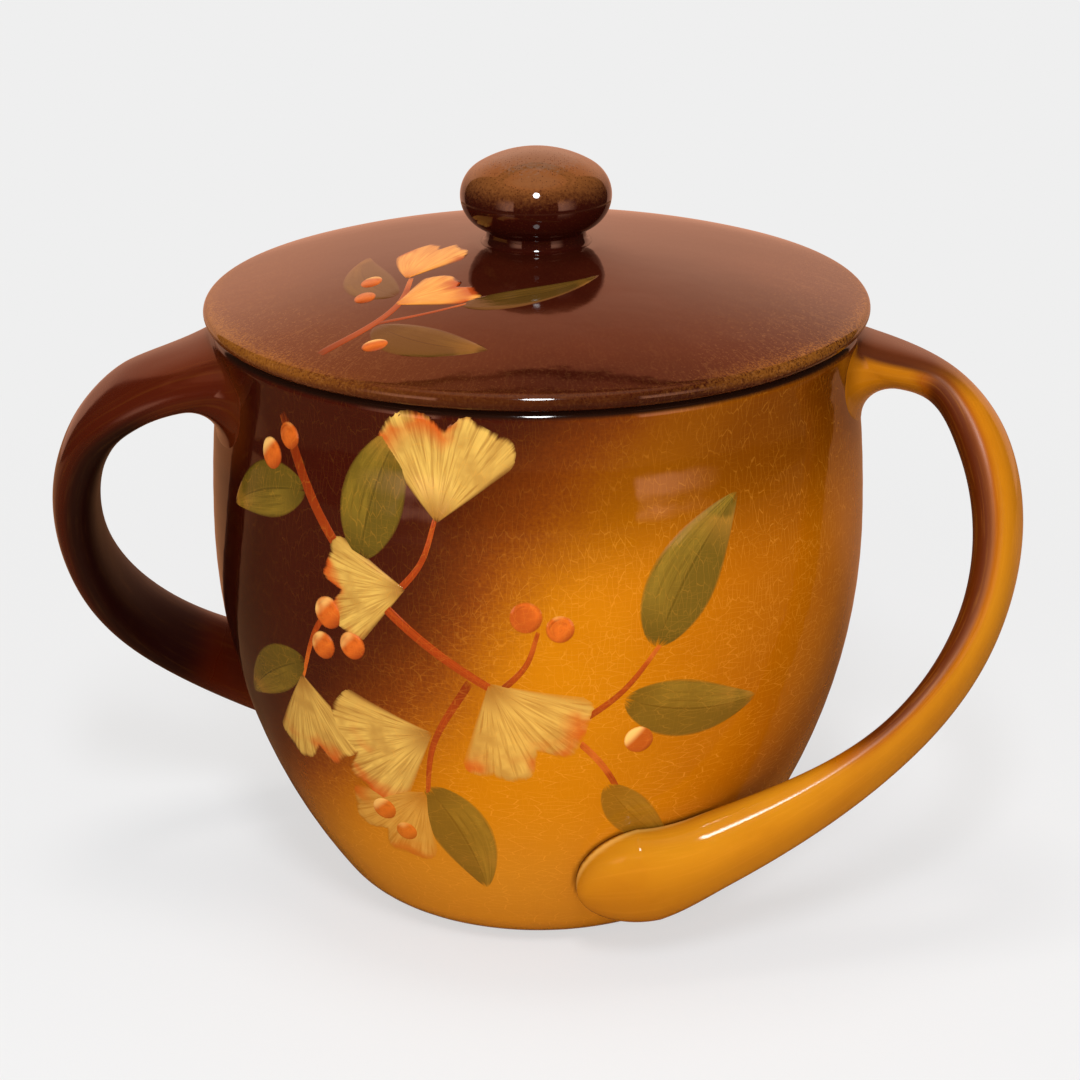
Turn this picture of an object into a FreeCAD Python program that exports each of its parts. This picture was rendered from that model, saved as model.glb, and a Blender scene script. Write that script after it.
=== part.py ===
import FreeCAD, Part
import math
import os

import Sketcher

# Covered ceramic jar: a thrown pot, two strap handles that sweep round it, and a loose lid
# with a knob. Millimetres, +Z up, origin at the centre of the foot on the table.
# The right handle starts on +X and both handles sweep clockwise, seen from above, going down.

DRIVING_SIZES = {
    # pot, outside; the rim stands out again by rim_flare above a slight throat
    "belly_radius": 82.5,
    "belly_height": 100.0,
    "belly_curve": 154.0,
    "foot_round": 22.0,
    "shoulder_curve": 310.0,
    "throat_drop": 18.2,
    "rim_flare": 0.6,
    "rim_height": 152.2,
    "rim_round": 3.0,
    # pot, inside and underneath
    "wall": 6.0,
    "rim_wall": 6.7,
    "mouth_bevel": 1.0,
    "floor_thickness": 8.0,
    "floor_round": 24.0,
    "foot_ring_width": 4.0,
    "recess_depth": 2.5,
    "recess_flare": 2.0,
    # lid, which lies on the rim and stands out over it
    "lid_overhang": 1.8,
    "lid_edge_round": 2.2,
    "lid_plate": 5.5,
    "lid_rise": 18.0,
    "flange_play": 1.2,
    "flange_depth": 10.0,
    "flange_thickness": 4.0,
    "flange_bevel": 1.2,
    # knob, and how far its flat seat on the lid stands out round its foot
    "neck_radius": 12.4,
    "neck_flare": 1.4,
    "neck_flare_height": 2.2,
    "neck_straight": 1.0,
    "knob_radius": 18.8,
    "knob_cheek": 8.6,
    "knob_crown": 28.0,
    "knob_seat_margin": 0.7,
    # where the two handles start, seen from above
    "right_root_angle": -5.6,
    "left_root_angle": 190.0,
    # the point on the pot's axis that the strap's broad side faces, below the rim
    "strap_facing_drop": 74.2,
    "strap_corner_power": 2.4,
    # the middle of the tongue's end, just inside the wall
    "tip_height": 23.6,
    "tip_stand_off": -1.2,
    "tip_angle": -76.2,
}

# The handle as a potter would place it, in stations from the root to the tongue. The upper ones
# hang from the rim by their drop, and the lower ones stand above the foot by their height.
# stand_off is from the pot's outside to the middle of the strap, angle is round the pot from
# the root, and roll_angle turns the strap about its own line.
FORM_MEASURES = ("stand_off", "angle", "width", "thickness", "roll_angle")
UPPER_STATIONS = {
    "root": (9.0, -2.3, 0.7, 35.0, 13.4, -6.5),
    "crest": (15.8, 20.0, -1.0, 24.4, 10.4, -4.2),
    "bend": (29.8, 30.8, -5.4, 21.2, 11.9, 2.4),
    "reach": (70.3, 33.7, -14.3, 21.9, 10.0, -1.9),
}
LOWER_STATIONS = {
    "elbow": (57.5, 25.9, -23.7, 21.4, 8.2, 0.0),
    "landing": (31.3, 7.0, -48.7, 27.2, 15.4, 2.0),
    "tongue": (25.6, 3.4, -60.8, 36.6, 16.6, 4.0),
}
STATIONS = (*UPPER_STATIONS, *LOWER_STATIONS)

# Where the sketches start from before their constraints settle these places and radii.
THROAT_CURVE_GUESS = 52.0
FLANGE_ROOT_GUESS = 1.0
LID_EDGE_GUESS = (0.5, 4.35)
NECK_CURVE_GUESS = 3.2

SKINS_ALONG_STRAP = 19
SKINS_ROUND_CAP = 5
POINTS_ROUND_STRAP = 16
CAP_TURN = math.radians(80)
TONGUE_FULLNESS = 0.4


class Size:
    """A number together with the spreadsheet expression that it comes from."""

    def __init__(self, value, text):
        self.value = value
        self.text = text

    def joined(self, sign, other, value):
        other_text = other.text if isinstance(other, Size) else str(other)
        return Size(value, "(" + self.text + " " + sign + " " + other_text + ")")

    def __add__(self, other):
        return self.joined("+", other, self.value + number(other))

    def __sub__(self, other):
        return self.joined("-", other, self.value - number(other))


def number(size):
    return size.value if isinstance(size, Size) else size


def other_leg(longest, leg):
    """The third side of a right-angled triangle."""
    value = math.sqrt(longest.value ** 2 - leg.value ** 2)
    return Size(value, "sqrt(" + longest.text + "^2 - " + leg.text + "^2)")


def floor_radius(size, curve, floor, turn):
    """How far a flat floor reaches before it turns up into a belly of the given curve."""
    reach = other_leg(curve - turn, size["belly_height"] - floor - turn)
    return size["belly_radius"] - size["belly_curve"] + reach


def add_dependent_sizes(size):
    """The radii that follow from the pot's curves, from the foot up to the knob's seat."""
    foot_radius = floor_radius(size, size["belly_curve"], 0, size["foot_round"])
    size["recess_radius"] = foot_radius - size["foot_ring_width"]
    size["throat_height"] = size["rim_height"] - size["throat_drop"]
    throat_reach = other_leg(size["shoulder_curve"], size["throat_height"] - size["belly_height"])
    size["throat_radius"] = size["belly_radius"] - size["shoulder_curve"] + throat_reach
    size["rim_radius"] = size["throat_radius"] + size["rim_flare"]
    size["mouth_radius"] = size["rim_radius"] - size["rim_wall"]
    size["lid_radius"] = size["rim_radius"] + size["lid_overhang"]
    size["knob_foot_radius"] = size["neck_radius"] + size["neck_flare"]
    size["knob_seat_radius"] = size["knob_foot_radius"] + size["knob_seat_margin"]


def wall_radius(size, height):
    """The pot's outside radius at a height on its belly or shoulder."""
    rise = height - size["belly_height"].value
    curve = size["belly_curve" if rise < 0 else "shoulder_curve"].value
    return size["belly_radius"].value - curve + math.sqrt(curve ** 2 - rise ** 2)


def station_names(station, level):
    return ["strap_" + station + "_" + measure for measure in (level, *FORM_MEASURES)]


def write_sheet(doc):
    """Put every driving size into the spreadsheet, one row each, and return all by name."""
    sheet = doc.addObject("Spreadsheet::Sheet", "sizes")
    rows = dict(DRIVING_SIZES)
    for station, measures in UPPER_STATIONS.items():
        rows.update(zip(station_names(station, "drop"), measures))
    for station, measures in LOWER_STATIONS.items():
        rows.update(zip(station_names(station, "height"), measures))
    for row, (name, value) in enumerate(rows.items(), start=1):
        sheet.set("A" + str(row), name)
        sheet.set("B" + str(row), str(value))
        sheet.setAlias("B" + str(row), name)
    doc.recompute()
    size = {name: Size(float(sheet.get(name)), "sizes." + name) for name in rows}
    add_dependent_sizes(size)
    return size


class Outline:
    """A closed sketch in a body's XZ plane, drawn vertex by vertex; X is the radius."""

    def __init__(self, body, label):
        self.sketch = body.newObject("Sketcher::SketchObject", label)
        plane = next(f for f in body.Origin.OriginFeatures if f.Role == "XZ_Plane")
        self.sketch.AttachmentSupport = [(plane, "")]
        self.sketch.MapMode = "FlatFace"
        self.start = None
        self.here = None
        self.first = None
        self.last = None

    def bind(self, kind, references, size):
        """Add a dimension, and tie it to the sheet when it is a Size."""
        index = self.sketch.addConstraint(Sketcher.Constraint(kind, *references, number(size)))
        self.sketch.setExpression("Constraints[" + str(index) + "]", size.text)

    def hold(self, end, x, z):
        """Fix a vertex where its coordinates are sizes; a plain number is only a first guess."""
        if isinstance(x, Size):
            self.bind("DistanceX", (-1, 1, *end), x)
        elif x == 0:
            self.sketch.addConstraint(Sketcher.Constraint("PointOnObject", *end, -2))
        if isinstance(z, Size):
            self.bind("DistanceY", (-1, 1, *end), z)
        elif z == 0:
            self.sketch.addConstraint(Sketcher.Constraint("PointOnObject", *end, -1))

    def begin(self, x, z):
        self.start = (x, z)
        self.here = (x, z)

    def join(self, index, start_end, finish_end, x, z, smooth):
        start = (index, start_end)
        if self.last is None:
            self.first = start
            self.hold(start, *self.here)
        else:
            kind = "Tangent" if smooth else "Coincident"
            self.sketch.addConstraint(Sketcher.Constraint(kind, *self.last, *start))
        self.last = (index, finish_end)
        self.here = (x, z)
        return index

    def line_to(self, x, z, smooth=False):
        start = FreeCAD.Vector(number(self.here[0]), number(self.here[1]), 0)
        finish = FreeCAD.Vector(number(x), number(z), 0)
        index = self.sketch.addGeometry(Part.LineSegment(start, finish))
        self.join(index, 1, 2, x, z, smooth)
        self.hold((index, 2), x, z)
        return index

    def arc_to(self, x, z, radius, left=True, smooth=False, bound=True):
        """An arc to (x, z); left turns anticlockwise. bound ties its radius to the sheet."""
        start = FreeCAD.Vector(number(self.here[0]), number(self.here[1]), 0)
        finish = FreeCAD.Vector(number(x), number(z), 0)
        chord = finish - start
        half = chord.Length / 2
        depth = math.sqrt(max(number(radius) ** 2 - half ** 2, 0.0))
        across = FreeCAD.Vector(-chord.y, chord.x, 0).normalize() * (depth if left else -depth)
        centre = (start + finish) / 2 + across
        ends = (start, finish) if left else (finish, start)
        angles = [math.atan2(end.y - centre.y, end.x - centre.x) for end in ends]
        circle = Part.Circle(centre, FreeCAD.Vector(0, 0, 1), number(radius))
        index = self.sketch.addGeometry(Part.ArcOfCircle(circle, *angles))
        self.join(index, *((1, 2) if left else (2, 1)), x, z, smooth)
        self.hold(self.last, x, z)
        if bound:
            self.bind("Radius", (index,), radius)
        return index

    def close(self):
        """Draw the last line, back to the first vertex."""
        start = FreeCAD.Vector(number(self.here[0]), number(self.here[1]), 0)
        finish = FreeCAD.Vector(number(self.start[0]), number(self.start[1]), 0)
        index = self.sketch.addGeometry(Part.LineSegment(start, finish))
        self.sketch.addConstraint(Sketcher.Constraint("Coincident", *self.last, index, 1))
        self.sketch.addConstraint(Sketcher.Constraint("Coincident", index, 2, *self.first))

    def centre_level_with(self, arc, end):
        """Make an arc upright at one of its ends, by putting its centre at the end's height."""
        self.sketch.addConstraint(Sketcher.Constraint("Horizontal", arc, 3, arc, end))

    def centre_on_axis(self, arc):
        self.sketch.addConstraint(Sketcher.Constraint("PointOnObject", arc, 3, -2))


def turned(body, outline, kind, label):
    """Turn an outline once round the Z axis, as a solid or as a groove."""
    feature = body.newObject(kind, label)
    feature.Profile = outline.sketch
    feature.ReferenceAxis = (outline.sketch, ["V_Axis"])
    feature.Angle = 360
    body.Tip = feature
    return feature


def draw_bowl(outline, size, curve, floor, turn):
    """Draw a flat floor, its turn and the long belly, up to the pot's widest height."""
    flat = floor_radius(size, curve, floor, turn).value
    belly_centre_radius = size["belly_radius"] - size["belly_curve"]
    belly_centre = FreeCAD.Vector(belly_centre_radius.value, size["belly_height"].value, 0)
    turn_centre = FreeCAD.Vector(flat, number(floor) + turn.value, 0)
    meeting = belly_centre + (turn_centre - belly_centre).normalize() * curve.value
    outline.begin(0, floor)
    outline.line_to(flat, floor)
    outline.arc_to(meeting.x, meeting.y, turn, smooth=True)
    belly = outline.arc_to(belly_centre_radius + curve, size["belly_height"], curve, smooth=True)
    outline.centre_level_with(belly, 2)


def draw_wall_outside(body, size):
    """The pot's outside: foot, quick turn, long belly, slight throat and rounded rim."""
    outline = Outline(body, body.Name + "_outside")
    draw_bowl(outline, size, size["belly_curve"], 0, size["foot_round"])
    outline.arc_to(size["throat_radius"].value, size["throat_height"], size["shoulder_curve"],
                   smooth=True)
    outline.arc_to(size["rim_radius"], size["rim_height"] - size["rim_round"],
                   THROAT_CURVE_GUESS, left=False, smooth=True, bound=False)
    outline.arc_to(size["rim_radius"] - size["rim_round"], size["rim_height"], size["rim_round"])
    outline.line_to(0, size["rim_height"])
    outline.close()
    return outline


def draw_hollow(body, size):
    """The inside of the pot: a flat floor, the belly one wall inside, and the mouth."""
    outline = Outline(body, body.Name + "_inside")
    above = size["rim_height"] + size["flange_depth"]
    draw_bowl(outline, size, size["belly_curve"] - size["wall"], size["floor_thickness"],
              size["floor_round"])
    outline.arc_to(size["mouth_radius"], size["throat_height"], size["shoulder_curve"] - size["wall"])
    outline.line_to(size["mouth_radius"], size["rim_height"] - size["mouth_bevel"])
    outline.line_to(size["mouth_radius"] + size["mouth_bevel"], size["rim_height"])
    outline.line_to(size["mouth_radius"] + size["mouth_bevel"], above)
    outline.line_to(0, above)
    outline.close()
    return outline


def draw_foot_recess(body, size):
    """The trimmed hollow under the pot that leaves a ring to stand on."""
    outline = Outline(body, body.Name + "_recess")
    outline.begin(0, 0)
    outline.line_to(size["recess_radius"], 0)
    outline.line_to(size["recess_radius"] - size["recess_flare"], size["recess_depth"])
    outline.line_to(0, size["recess_depth"])
    outline.close()
    return outline


def make_jar_body(doc, size):
    body = doc.addObject("PartDesign::Body", "jar_body")
    turned(body, draw_wall_outside(body, size), "PartDesign::Revolution", "thrown_wall")
    turned(body, draw_hollow(body, size), "PartDesign::Groove", "hollow")
    turned(body, draw_foot_recess(body, size), "PartDesign::Groove", "foot_recess")
    return body


def make_wall_form(doc, size):
    """The pot's outside as one full solid: what the handles are cut back to."""
    body = doc.addObject("PartDesign::Body", "wall_form")
    turned(body, draw_wall_outside(body, size), "PartDesign::Revolution", "full_wall")
    return body


def make_lid(doc, size):
    """The lid: shallow cone, rolled edge, flat seat for the rim and the flange in the mouth."""
    body = doc.addObject("PartDesign::Body", "lid")
    outline = Outline(body, "lid_section")
    seat = size["rim_height"]
    top = seat + size["lid_rise"]
    edge_centre = size["lid_radius"] - size["lid_edge_round"]
    flange_outside = size["mouth_radius"] - size["flange_play"]
    flange_inside = flange_outside - size["flange_thickness"]
    flange_end = seat - size["flange_depth"]
    outline.begin(0, top)
    outline.line_to(0, top - size["lid_plate"])
    outline.line_to(size["knob_seat_radius"], top - size["lid_plate"])
    under_cone = outline.line_to(flange_inside, seat.value + FLANGE_ROOT_GUESS)
    outline.line_to(flange_inside, flange_end + size["flange_bevel"])
    outline.line_to(flange_inside + size["flange_bevel"], flange_end)
    outline.line_to(flange_outside - size["flange_bevel"], flange_end)
    outline.line_to(flange_outside, flange_end + size["flange_bevel"])
    outline.line_to(flange_outside, seat)
    outline.line_to(edge_centre, seat)
    edge_step, edge_rise = LID_EDGE_GUESS
    outline.arc_to(edge_centre.value + edge_step, seat.value + edge_rise, size["lid_edge_round"],
                   smooth=True)
    cone = outline.line_to(size["knob_seat_radius"], top, smooth=True)
    outline.close()
    outline.sketch.addConstraint(Sketcher.Constraint("Parallel", under_cone, cone))
    turned(body, outline, "PartDesign::Revolution", "thrown_lid")
    return body


def make_lid_knob(doc, size):
    """The knob: a flattened ball on a short waisted neck."""
    body = doc.addObject("PartDesign::Body", "lid_knob")
    outline = Outline(body, "knob_section")
    seat = size["rim_height"] + size["lid_rise"]
    neck_top = seat + size["neck_flare_height"]
    ball_start = neck_top + size["neck_straight"]
    cheek_side = size["knob_radius"] - size["knob_cheek"]
    crown_less_cheek = size["knob_crown"] - size["knob_cheek"]
    centres_apart = other_leg(crown_less_cheek, cheek_side).value
    ball_middle = ball_start.value - centres_apart
    ball_middle += other_leg(size["knob_crown"], size["neck_radius"]).value
    meeting_share = size["knob_crown"].value / crown_less_cheek.value
    meeting_side = cheek_side.value * meeting_share
    meeting_rise = centres_apart * (meeting_share - 1)
    crown_top = ball_middle - centres_apart + size["knob_crown"].value
    outline.begin(0, seat)
    outline.line_to(size["knob_foot_radius"], seat)
    outline.arc_to(size["neck_radius"], neck_top, NECK_CURVE_GUESS, left=False, bound=False)
    outline.line_to(size["neck_radius"], ball_start)
    under = outline.arc_to(meeting_side, ball_middle - meeting_rise, size["knob_crown"])
    cheek = outline.arc_to(meeting_side, ball_middle + meeting_rise, size["knob_cheek"], smooth=True)
    crown = outline.arc_to(0, crown_top, size["knob_crown"], smooth=True)
    outline.close()
    outline.centre_on_axis(under)
    outline.centre_on_axis(crown)
    outline.bind("DistanceX", (-1, 1, cheek, 3), cheek_side)
    turned(body, outline, "PartDesign::Revolution", "thrown_knob")
    return body


def steps_along(points):
    """How far along the chain each point lies, from 0 to 1."""
    reached = [0.0]
    for before, after in zip(points, points[1:]):
        reached.append(reached[-1] + (after - before).Length)
    return [distance / reached[-1] for distance in reached]


def curve_through(points, steps):
    """A smooth curve that passes the points at the given steps, straight at both ends."""
    first_run = (points[1] - points[0]) / (steps[1] - steps[0])
    last_run = (points[-1] - points[-2]) / (steps[-1] - steps[-2])
    curve = Part.BSplineCurve()
    curve.interpolate(Points=points, Parameters=steps, InitialTangent=first_run,
                      FinalTangent=last_run, Scale=False)
    return curve


class Strap:
    """The strap's middle line, and its width, thickness and roll along it."""

    def __init__(self, size):
        facing_height = size["rim_height"] - size["strap_facing_drop"]
        self.facing = FreeCAD.Vector(0, 0, facing_height.value)
        self.power = size["strap_corner_power"].value
        points = []
        for station in UPPER_STATIONS:
            height = size["rim_height"] - size["strap_" + station + "_drop"]
            points.append(self.place(size, "strap_" + station, height.value))
        for station in LOWER_STATIONS:
            height = size["strap_" + station + "_height"]
            points.append(self.place(size, "strap_" + station, height.value))
        points.append(self.place(size, "tip", size["tip_height"].value))
        steps = steps_along(points)
        self.path = curve_through(points, steps)
        self.tongue_step = steps[-2]
        self.width = self.law(size, "width", steps[:-1])
        self.thickness = self.law(size, "thickness", steps[:-1])
        self.roll_angle = self.law(size, "roll_angle", steps[:-1])

    def place(self, size, name, height):
        distance = wall_radius(size, height) + size[name + "_stand_off"].value
        angle = math.radians(size[name + "_angle"].value)
        return FreeCAD.Vector(distance * math.cos(angle), distance * math.sin(angle), height)

    def law(self, size, measure, steps):
        """A measure between the stations, smooth and never past its neighbours' values."""
        values = [size["strap_" + station + "_" + measure].value for station in STATIONS]
        runs = [after - before for before, after in zip(steps, steps[1:])]
        rates = [(after - before) / run for before, after, run in zip(values, values[1:], runs)]
        slopes = [rates[0]]
        for before, after in zip(rates, rates[1:]):
            slopes.append(2 * before * after / (before + after) if before * after > 0 else 0.0)
        slopes.append(rates[-1])

        def at(step):
            span = 0
            while span < len(runs) - 1 and step > steps[span + 1]:
                span += 1
            share = min((step - steps[span]) / runs[span], 1.0)
            run = runs[span]
            return (values[span] * (1 + 2 * share) * (1 - share) ** 2
                    + slopes[span] * run * share * (1 - share) ** 2
                    + values[span + 1] * share ** 2 * (3 - 2 * share)
                    + slopes[span + 1] * run * share ** 2 * (share - 1))

        return at

    def skin(self, step, closing=0.0):
        """One closed section, an oval with fuller corners, square to the path.

        closing is the angle by which the round tongue end has closed there.
        """
        middle = self.path.value(step)
        along = FreeCAD.Vector(*self.path.tangent(step)[0])
        outward = middle - self.facing
        outward = (outward - along * outward.dot(along)).normalize()
        outward = FreeCAD.Rotation(along, self.roll_angle(step)).multVec(outward)
        across = along.cross(outward)
        half_width = self.width(step) * math.cos(closing) / 2
        half_thickness = self.thickness(step) * math.cos(closing) ** TONGUE_FULLNESS / 2
        points = []
        for count in range(POINTS_ROUND_STRAP):
            turn = 2 * math.pi * count / POINTS_ROUND_STRAP
            side = math.copysign(abs(math.cos(turn)) ** (2 / self.power), math.cos(turn))
            rise = math.copysign(abs(math.sin(turn)) ** (2 / self.power), math.sin(turn))
            points.append(middle + across * (side * half_width) + outward * (rise * half_thickness))
        even_steps = [count / POINTS_ROUND_STRAP for count in range(POINTS_ROUND_STRAP + 1)]
        loop = Part.BSplineCurve()
        loop.interpolate(Points=points, Parameters=even_steps, PeriodicFlag=True)
        return Part.Wire(loop.toShape())

    def solid(self):
        """The whole strap as one skin over its sections, with the tongue's round end."""
        skins = []
        for count in range(SKINS_ALONG_STRAP):
            skins.append(self.skin(self.tongue_step * count / (SKINS_ALONG_STRAP - 1)))
        for count in range(1, SKINS_ROUND_CAP + 1):
            closing = CAP_TURN * count / SKINS_ROUND_CAP
            step = self.tongue_step + (1 - self.tongue_step) * math.sin(closing)
            skins.append(self.skin(step, closing))
        return Part.makeLoft(skins, True, False)


def make_handle(doc, size, wall_form, label, root_angle):
    """A strap turned to its place round the pot and cut back to the pot's outside."""
    strap = doc.addObject("Part::Feature", label + "_strap")
    strap.Shape = Strap(size).solid()
    strap.Placement = FreeCAD.Placement(
        FreeCAD.Vector(0, 0, 0), FreeCAD.Rotation(FreeCAD.Vector(0, 0, 1), number(root_angle)))
    strap.setExpression("Placement.Rotation.Angle", root_angle.text)
    handle = doc.addObject("Part::Cut", label)
    handle.Base = strap
    handle.Tool = wall_form
    return handle


def check(doc, parts):
    """Stop with a plain message if anything failed or isn't one sound solid."""
    for item in doc.Objects:
        if "Invalid" in item.State or "Error" in item.State:
            raise RuntimeError(item.Label + " failed: " + str(item.State))
    for part in parts:
        shape = part.Shape
        if shape.isNull() or not shape.isValid() or len(shape.Solids) != 1:
            raise RuntimeError(part.Label + " is not one sound solid")
        print(part.Label, "volume", round(shape.Volume / 1000, 1), "cm3,", len(shape.Faces), "faces")


def main():
    doc = FreeCAD.newDocument("covered_jar")
    size = write_sheet(doc)
    jar_body = make_jar_body(doc, size)
    wall_form = make_wall_form(doc, size)
    lid = make_lid(doc, size)
    lid_knob = make_lid_knob(doc, size)
    doc.recompute()
    handle_right = make_handle(doc, size, wall_form, "handle_right", size["right_root_angle"])
    handle_left = make_handle(doc, size, wall_form, "handle_left", size["left_root_angle"])
    doc.recompute()
    parts = (jar_body, handle_right, handle_left, lid, lid_knob)
    check(doc, parts)
    os.makedirs("parts", exist_ok=True)
    for part in parts:
        part.Shape.exportStep(os.path.join("parts", part.Label + ".step"))


main()
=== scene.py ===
import math

import bpy
import numpy as np
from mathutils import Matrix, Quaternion, Vector, noise
from mathutils.bvhtree import BVHTree


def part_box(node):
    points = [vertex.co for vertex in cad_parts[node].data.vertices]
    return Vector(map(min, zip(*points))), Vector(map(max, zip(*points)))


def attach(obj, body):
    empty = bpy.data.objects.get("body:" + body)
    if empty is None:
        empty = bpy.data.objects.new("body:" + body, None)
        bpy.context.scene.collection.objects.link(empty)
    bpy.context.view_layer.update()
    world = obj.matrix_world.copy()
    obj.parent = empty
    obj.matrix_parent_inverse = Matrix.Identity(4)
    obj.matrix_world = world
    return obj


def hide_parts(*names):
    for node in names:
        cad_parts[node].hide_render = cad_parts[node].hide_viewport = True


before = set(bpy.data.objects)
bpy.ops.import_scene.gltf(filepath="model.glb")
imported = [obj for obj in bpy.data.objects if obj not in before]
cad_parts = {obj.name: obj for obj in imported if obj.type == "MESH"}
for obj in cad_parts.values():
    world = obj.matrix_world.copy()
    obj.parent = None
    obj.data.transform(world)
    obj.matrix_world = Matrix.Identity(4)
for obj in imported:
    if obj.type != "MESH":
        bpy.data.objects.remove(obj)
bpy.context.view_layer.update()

# Covered ceramic jar under a clear amber glaze. Metres, +Z up, the pot's axis on Z.
# The thrown pieces and the straps are drawn again here with a potter's soft edges, on the
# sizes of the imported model.

MM = 0.001
_, pot_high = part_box("jar_body")
lid_low, lid_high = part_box("lid")
knob_low, knob_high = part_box("lid_knob")

# Pot, outside
RIM_HEIGHT = pot_high.z
BELLY_RADIUS = pot_high.x
BELLY_HEIGHT = 100 * MM
BELLY_CURVE = 154 * MM
FOOT_ROUND = 22 * MM
SHOULDER_CURVE = 310 * MM
THROAT_HEIGHT = RIM_HEIGHT - 18.2 * MM
RIM_FLARE = 0.6 * MM
RIM_ROUND = 3 * MM

# Pot, inside and underneath
WALL = 6 * MM
RIM_WALL = 6.7 * MM
MOUTH_ROUND = 1.2 * MM
FLOOR_THICKNESS = 8 * MM
FLOOR_ROUND = 24 * MM
FOOT_RING_WIDTH = 4 * MM
RECESS_DEPTH = 2.5 * MM

# Lid and knob
SEAT = RIM_HEIGHT
LID_TOP = lid_high.z
LID_RADIUS = lid_high.x
LID_EDGE_ROUND = 2.2 * MM
LID_PLATE = 5.5 * MM
LID_SLOPE_INSIDE = 9.0
LID_SLOPE_OUTSIDE = 19.5
FLANGE_PLAY = 1.2 * MM
FLANGE_THICKNESS = 4 * MM
FLANGE_BEVEL = 1.3 * MM
KNOB_SEAT_RADIUS = 14.5 * MM
NECK_RADIUS = 12.4 * MM
NECK_FLARE = 1.4 * MM
NECK_FLARE_HEIGHT = 2.2 * MM
NECK_STRAIGHT = 1.0 * MM
KNOB_CHEEK = 8.6 * MM
KNOB_CROWN = 28 * MM
KNOB_RADIUS = knob_high.x

# Straps: drop below the rim or height above the foot, stand-off from the wall, angle from the
# root, width, thickness and roll, by station from the root to the tongue
RIGHT_ROOT_ANGLE = -5.6
LEFT_ROOT_ANGLE = 190.0
STRAP_FACING = Vector((0, 0, RIM_HEIGHT - 74.2 * MM))
STRAP_CORNER_POWER = 2.4
UPPER_STATIONS = (
    (9.0, -2.3, 0.7, 35.0, 13.4, -6.5),
    (15.8, 20.0, -1.0, 24.4, 10.4, -4.2),
    (29.8, 30.8, -5.4, 21.2, 11.9, 2.4),
    (70.3, 33.7, -14.3, 21.9, 10.0, -1.9),
)
LOWER_STATIONS = (
    (57.5, 25.9, -23.7, 21.4, 8.2, 0.0),
    (31.3, 7.0, -48.7, 27.2, 15.4, 2.0),
    (25.6, 3.4, -60.8, 36.6, 16.6, 4.0),
)
TONGUE_TIP = (23.6, -1.2, -76.2)
TONGUE_FULLNESS = 0.4

TURN_STEPS = 432
LID_TURN_STEPS = 360
KNOB_TURN_STEPS = 128


def paint(red, green, blue):
    """A colour as it is written on screen, 0 to 255, as the renderer's linear numbers."""
    linear = []
    for level in (red, green, blue):
        share = level / 255
        linear.append(share / 12.92 if share < 0.04045 else ((share + 0.055) / 1.055) ** 2.4)
    return (*linear, 1.0)


def smooth_step(value, low, high):
    share = min(max((value - low) / (high - low), 0.0), 1.0)
    return share * share * (3 - 2 * share)


def even_steps(first, last, steps):
    """Numbers evenly from first to last, without the first one."""
    return [first + (last - first) * count / steps for count in range(1, steps + 1)]


def arc(centre_r, centre_z, radius, first, last, steps):
    """Points on an arc, as radius and height, from one angle to another in degrees."""
    points = []
    for angle in [first] + even_steps(first, last, steps):
        turn = math.radians(angle)
        points.append((centre_r + radius * math.cos(turn), centre_z + radius * math.sin(turn)))
    return points


def straight(start, finish, steps):
    """Points on a line, without its first one."""
    return [tuple(a + (b - a) * share for a, b in zip(start, finish))
            for share in even_steps(0, 1, steps)]


def polar(radius, turn, height):
    """The point at a radius, an angle in radians and a height."""
    return Vector((radius * math.cos(turn), radius * math.sin(turn), height))


def cubic(share, run, start, start_slope, finish, finish_slope):
    """The smooth way over a run between two values with given slopes, at a share of the run."""
    return (start * ((1 + 2 * share) * (1 - share) ** 2)
            + start_slope * (run * share * (1 - share) ** 2)
            + finish * (share ** 2 * (3 - 2 * share))
            + finish_slope * (run * share ** 2 * (share - 1)))


def shares_along(points):
    """How far along their line the points lie, from 0 to 1."""
    reached = [0.0]
    for before, after in zip(points, points[1:]):
        reached.append(reached[-1] + (after - before).length)
    return [distance / reached[-1] for distance in reached]


def neighbours(count):
    """Each place round a ring of points, with the one after it."""
    return [(here, (here + 1) % count) for here in range(count)]


# The wall's arcs, worked out once: foot, belly, shoulder, flare and rim
belly_centre_r = BELLY_RADIUS - BELLY_CURVE
foot_reach = math.sqrt((BELLY_CURVE - FOOT_ROUND) ** 2 - (BELLY_HEIGHT - FOOT_ROUND) ** 2)
FOOT_RADIUS = belly_centre_r + foot_reach
foot_top = BELLY_HEIGHT - (BELLY_HEIGHT - FOOT_ROUND) * BELLY_CURVE / (BELLY_CURVE - FOOT_ROUND)
shoulder_centre_r = BELLY_RADIUS - SHOULDER_CURVE
throat_rise = THROAT_HEIGHT - BELLY_HEIGHT
THROAT_RADIUS = shoulder_centre_r + math.sqrt(SHOULDER_CURVE ** 2 - throat_rise ** 2)
RIM_RADIUS = THROAT_RADIUS + RIM_FLARE
MOUTH_RADIUS = RIM_RADIUS - RIM_WALL
rim_turn = RIM_HEIGHT - RIM_ROUND
throat_out = Vector((THROAT_RADIUS - shoulder_centre_r, throat_rise)) / SHOULDER_CURVE
to_rim = Vector((RIM_FLARE, rim_turn - THROAT_HEIGHT))
flare_curve = to_rim.length_squared / (2 * throat_out.dot(to_rim))
flare_centre = Vector((THROAT_RADIUS, THROAT_HEIGHT)) + throat_out * flare_curve


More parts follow.
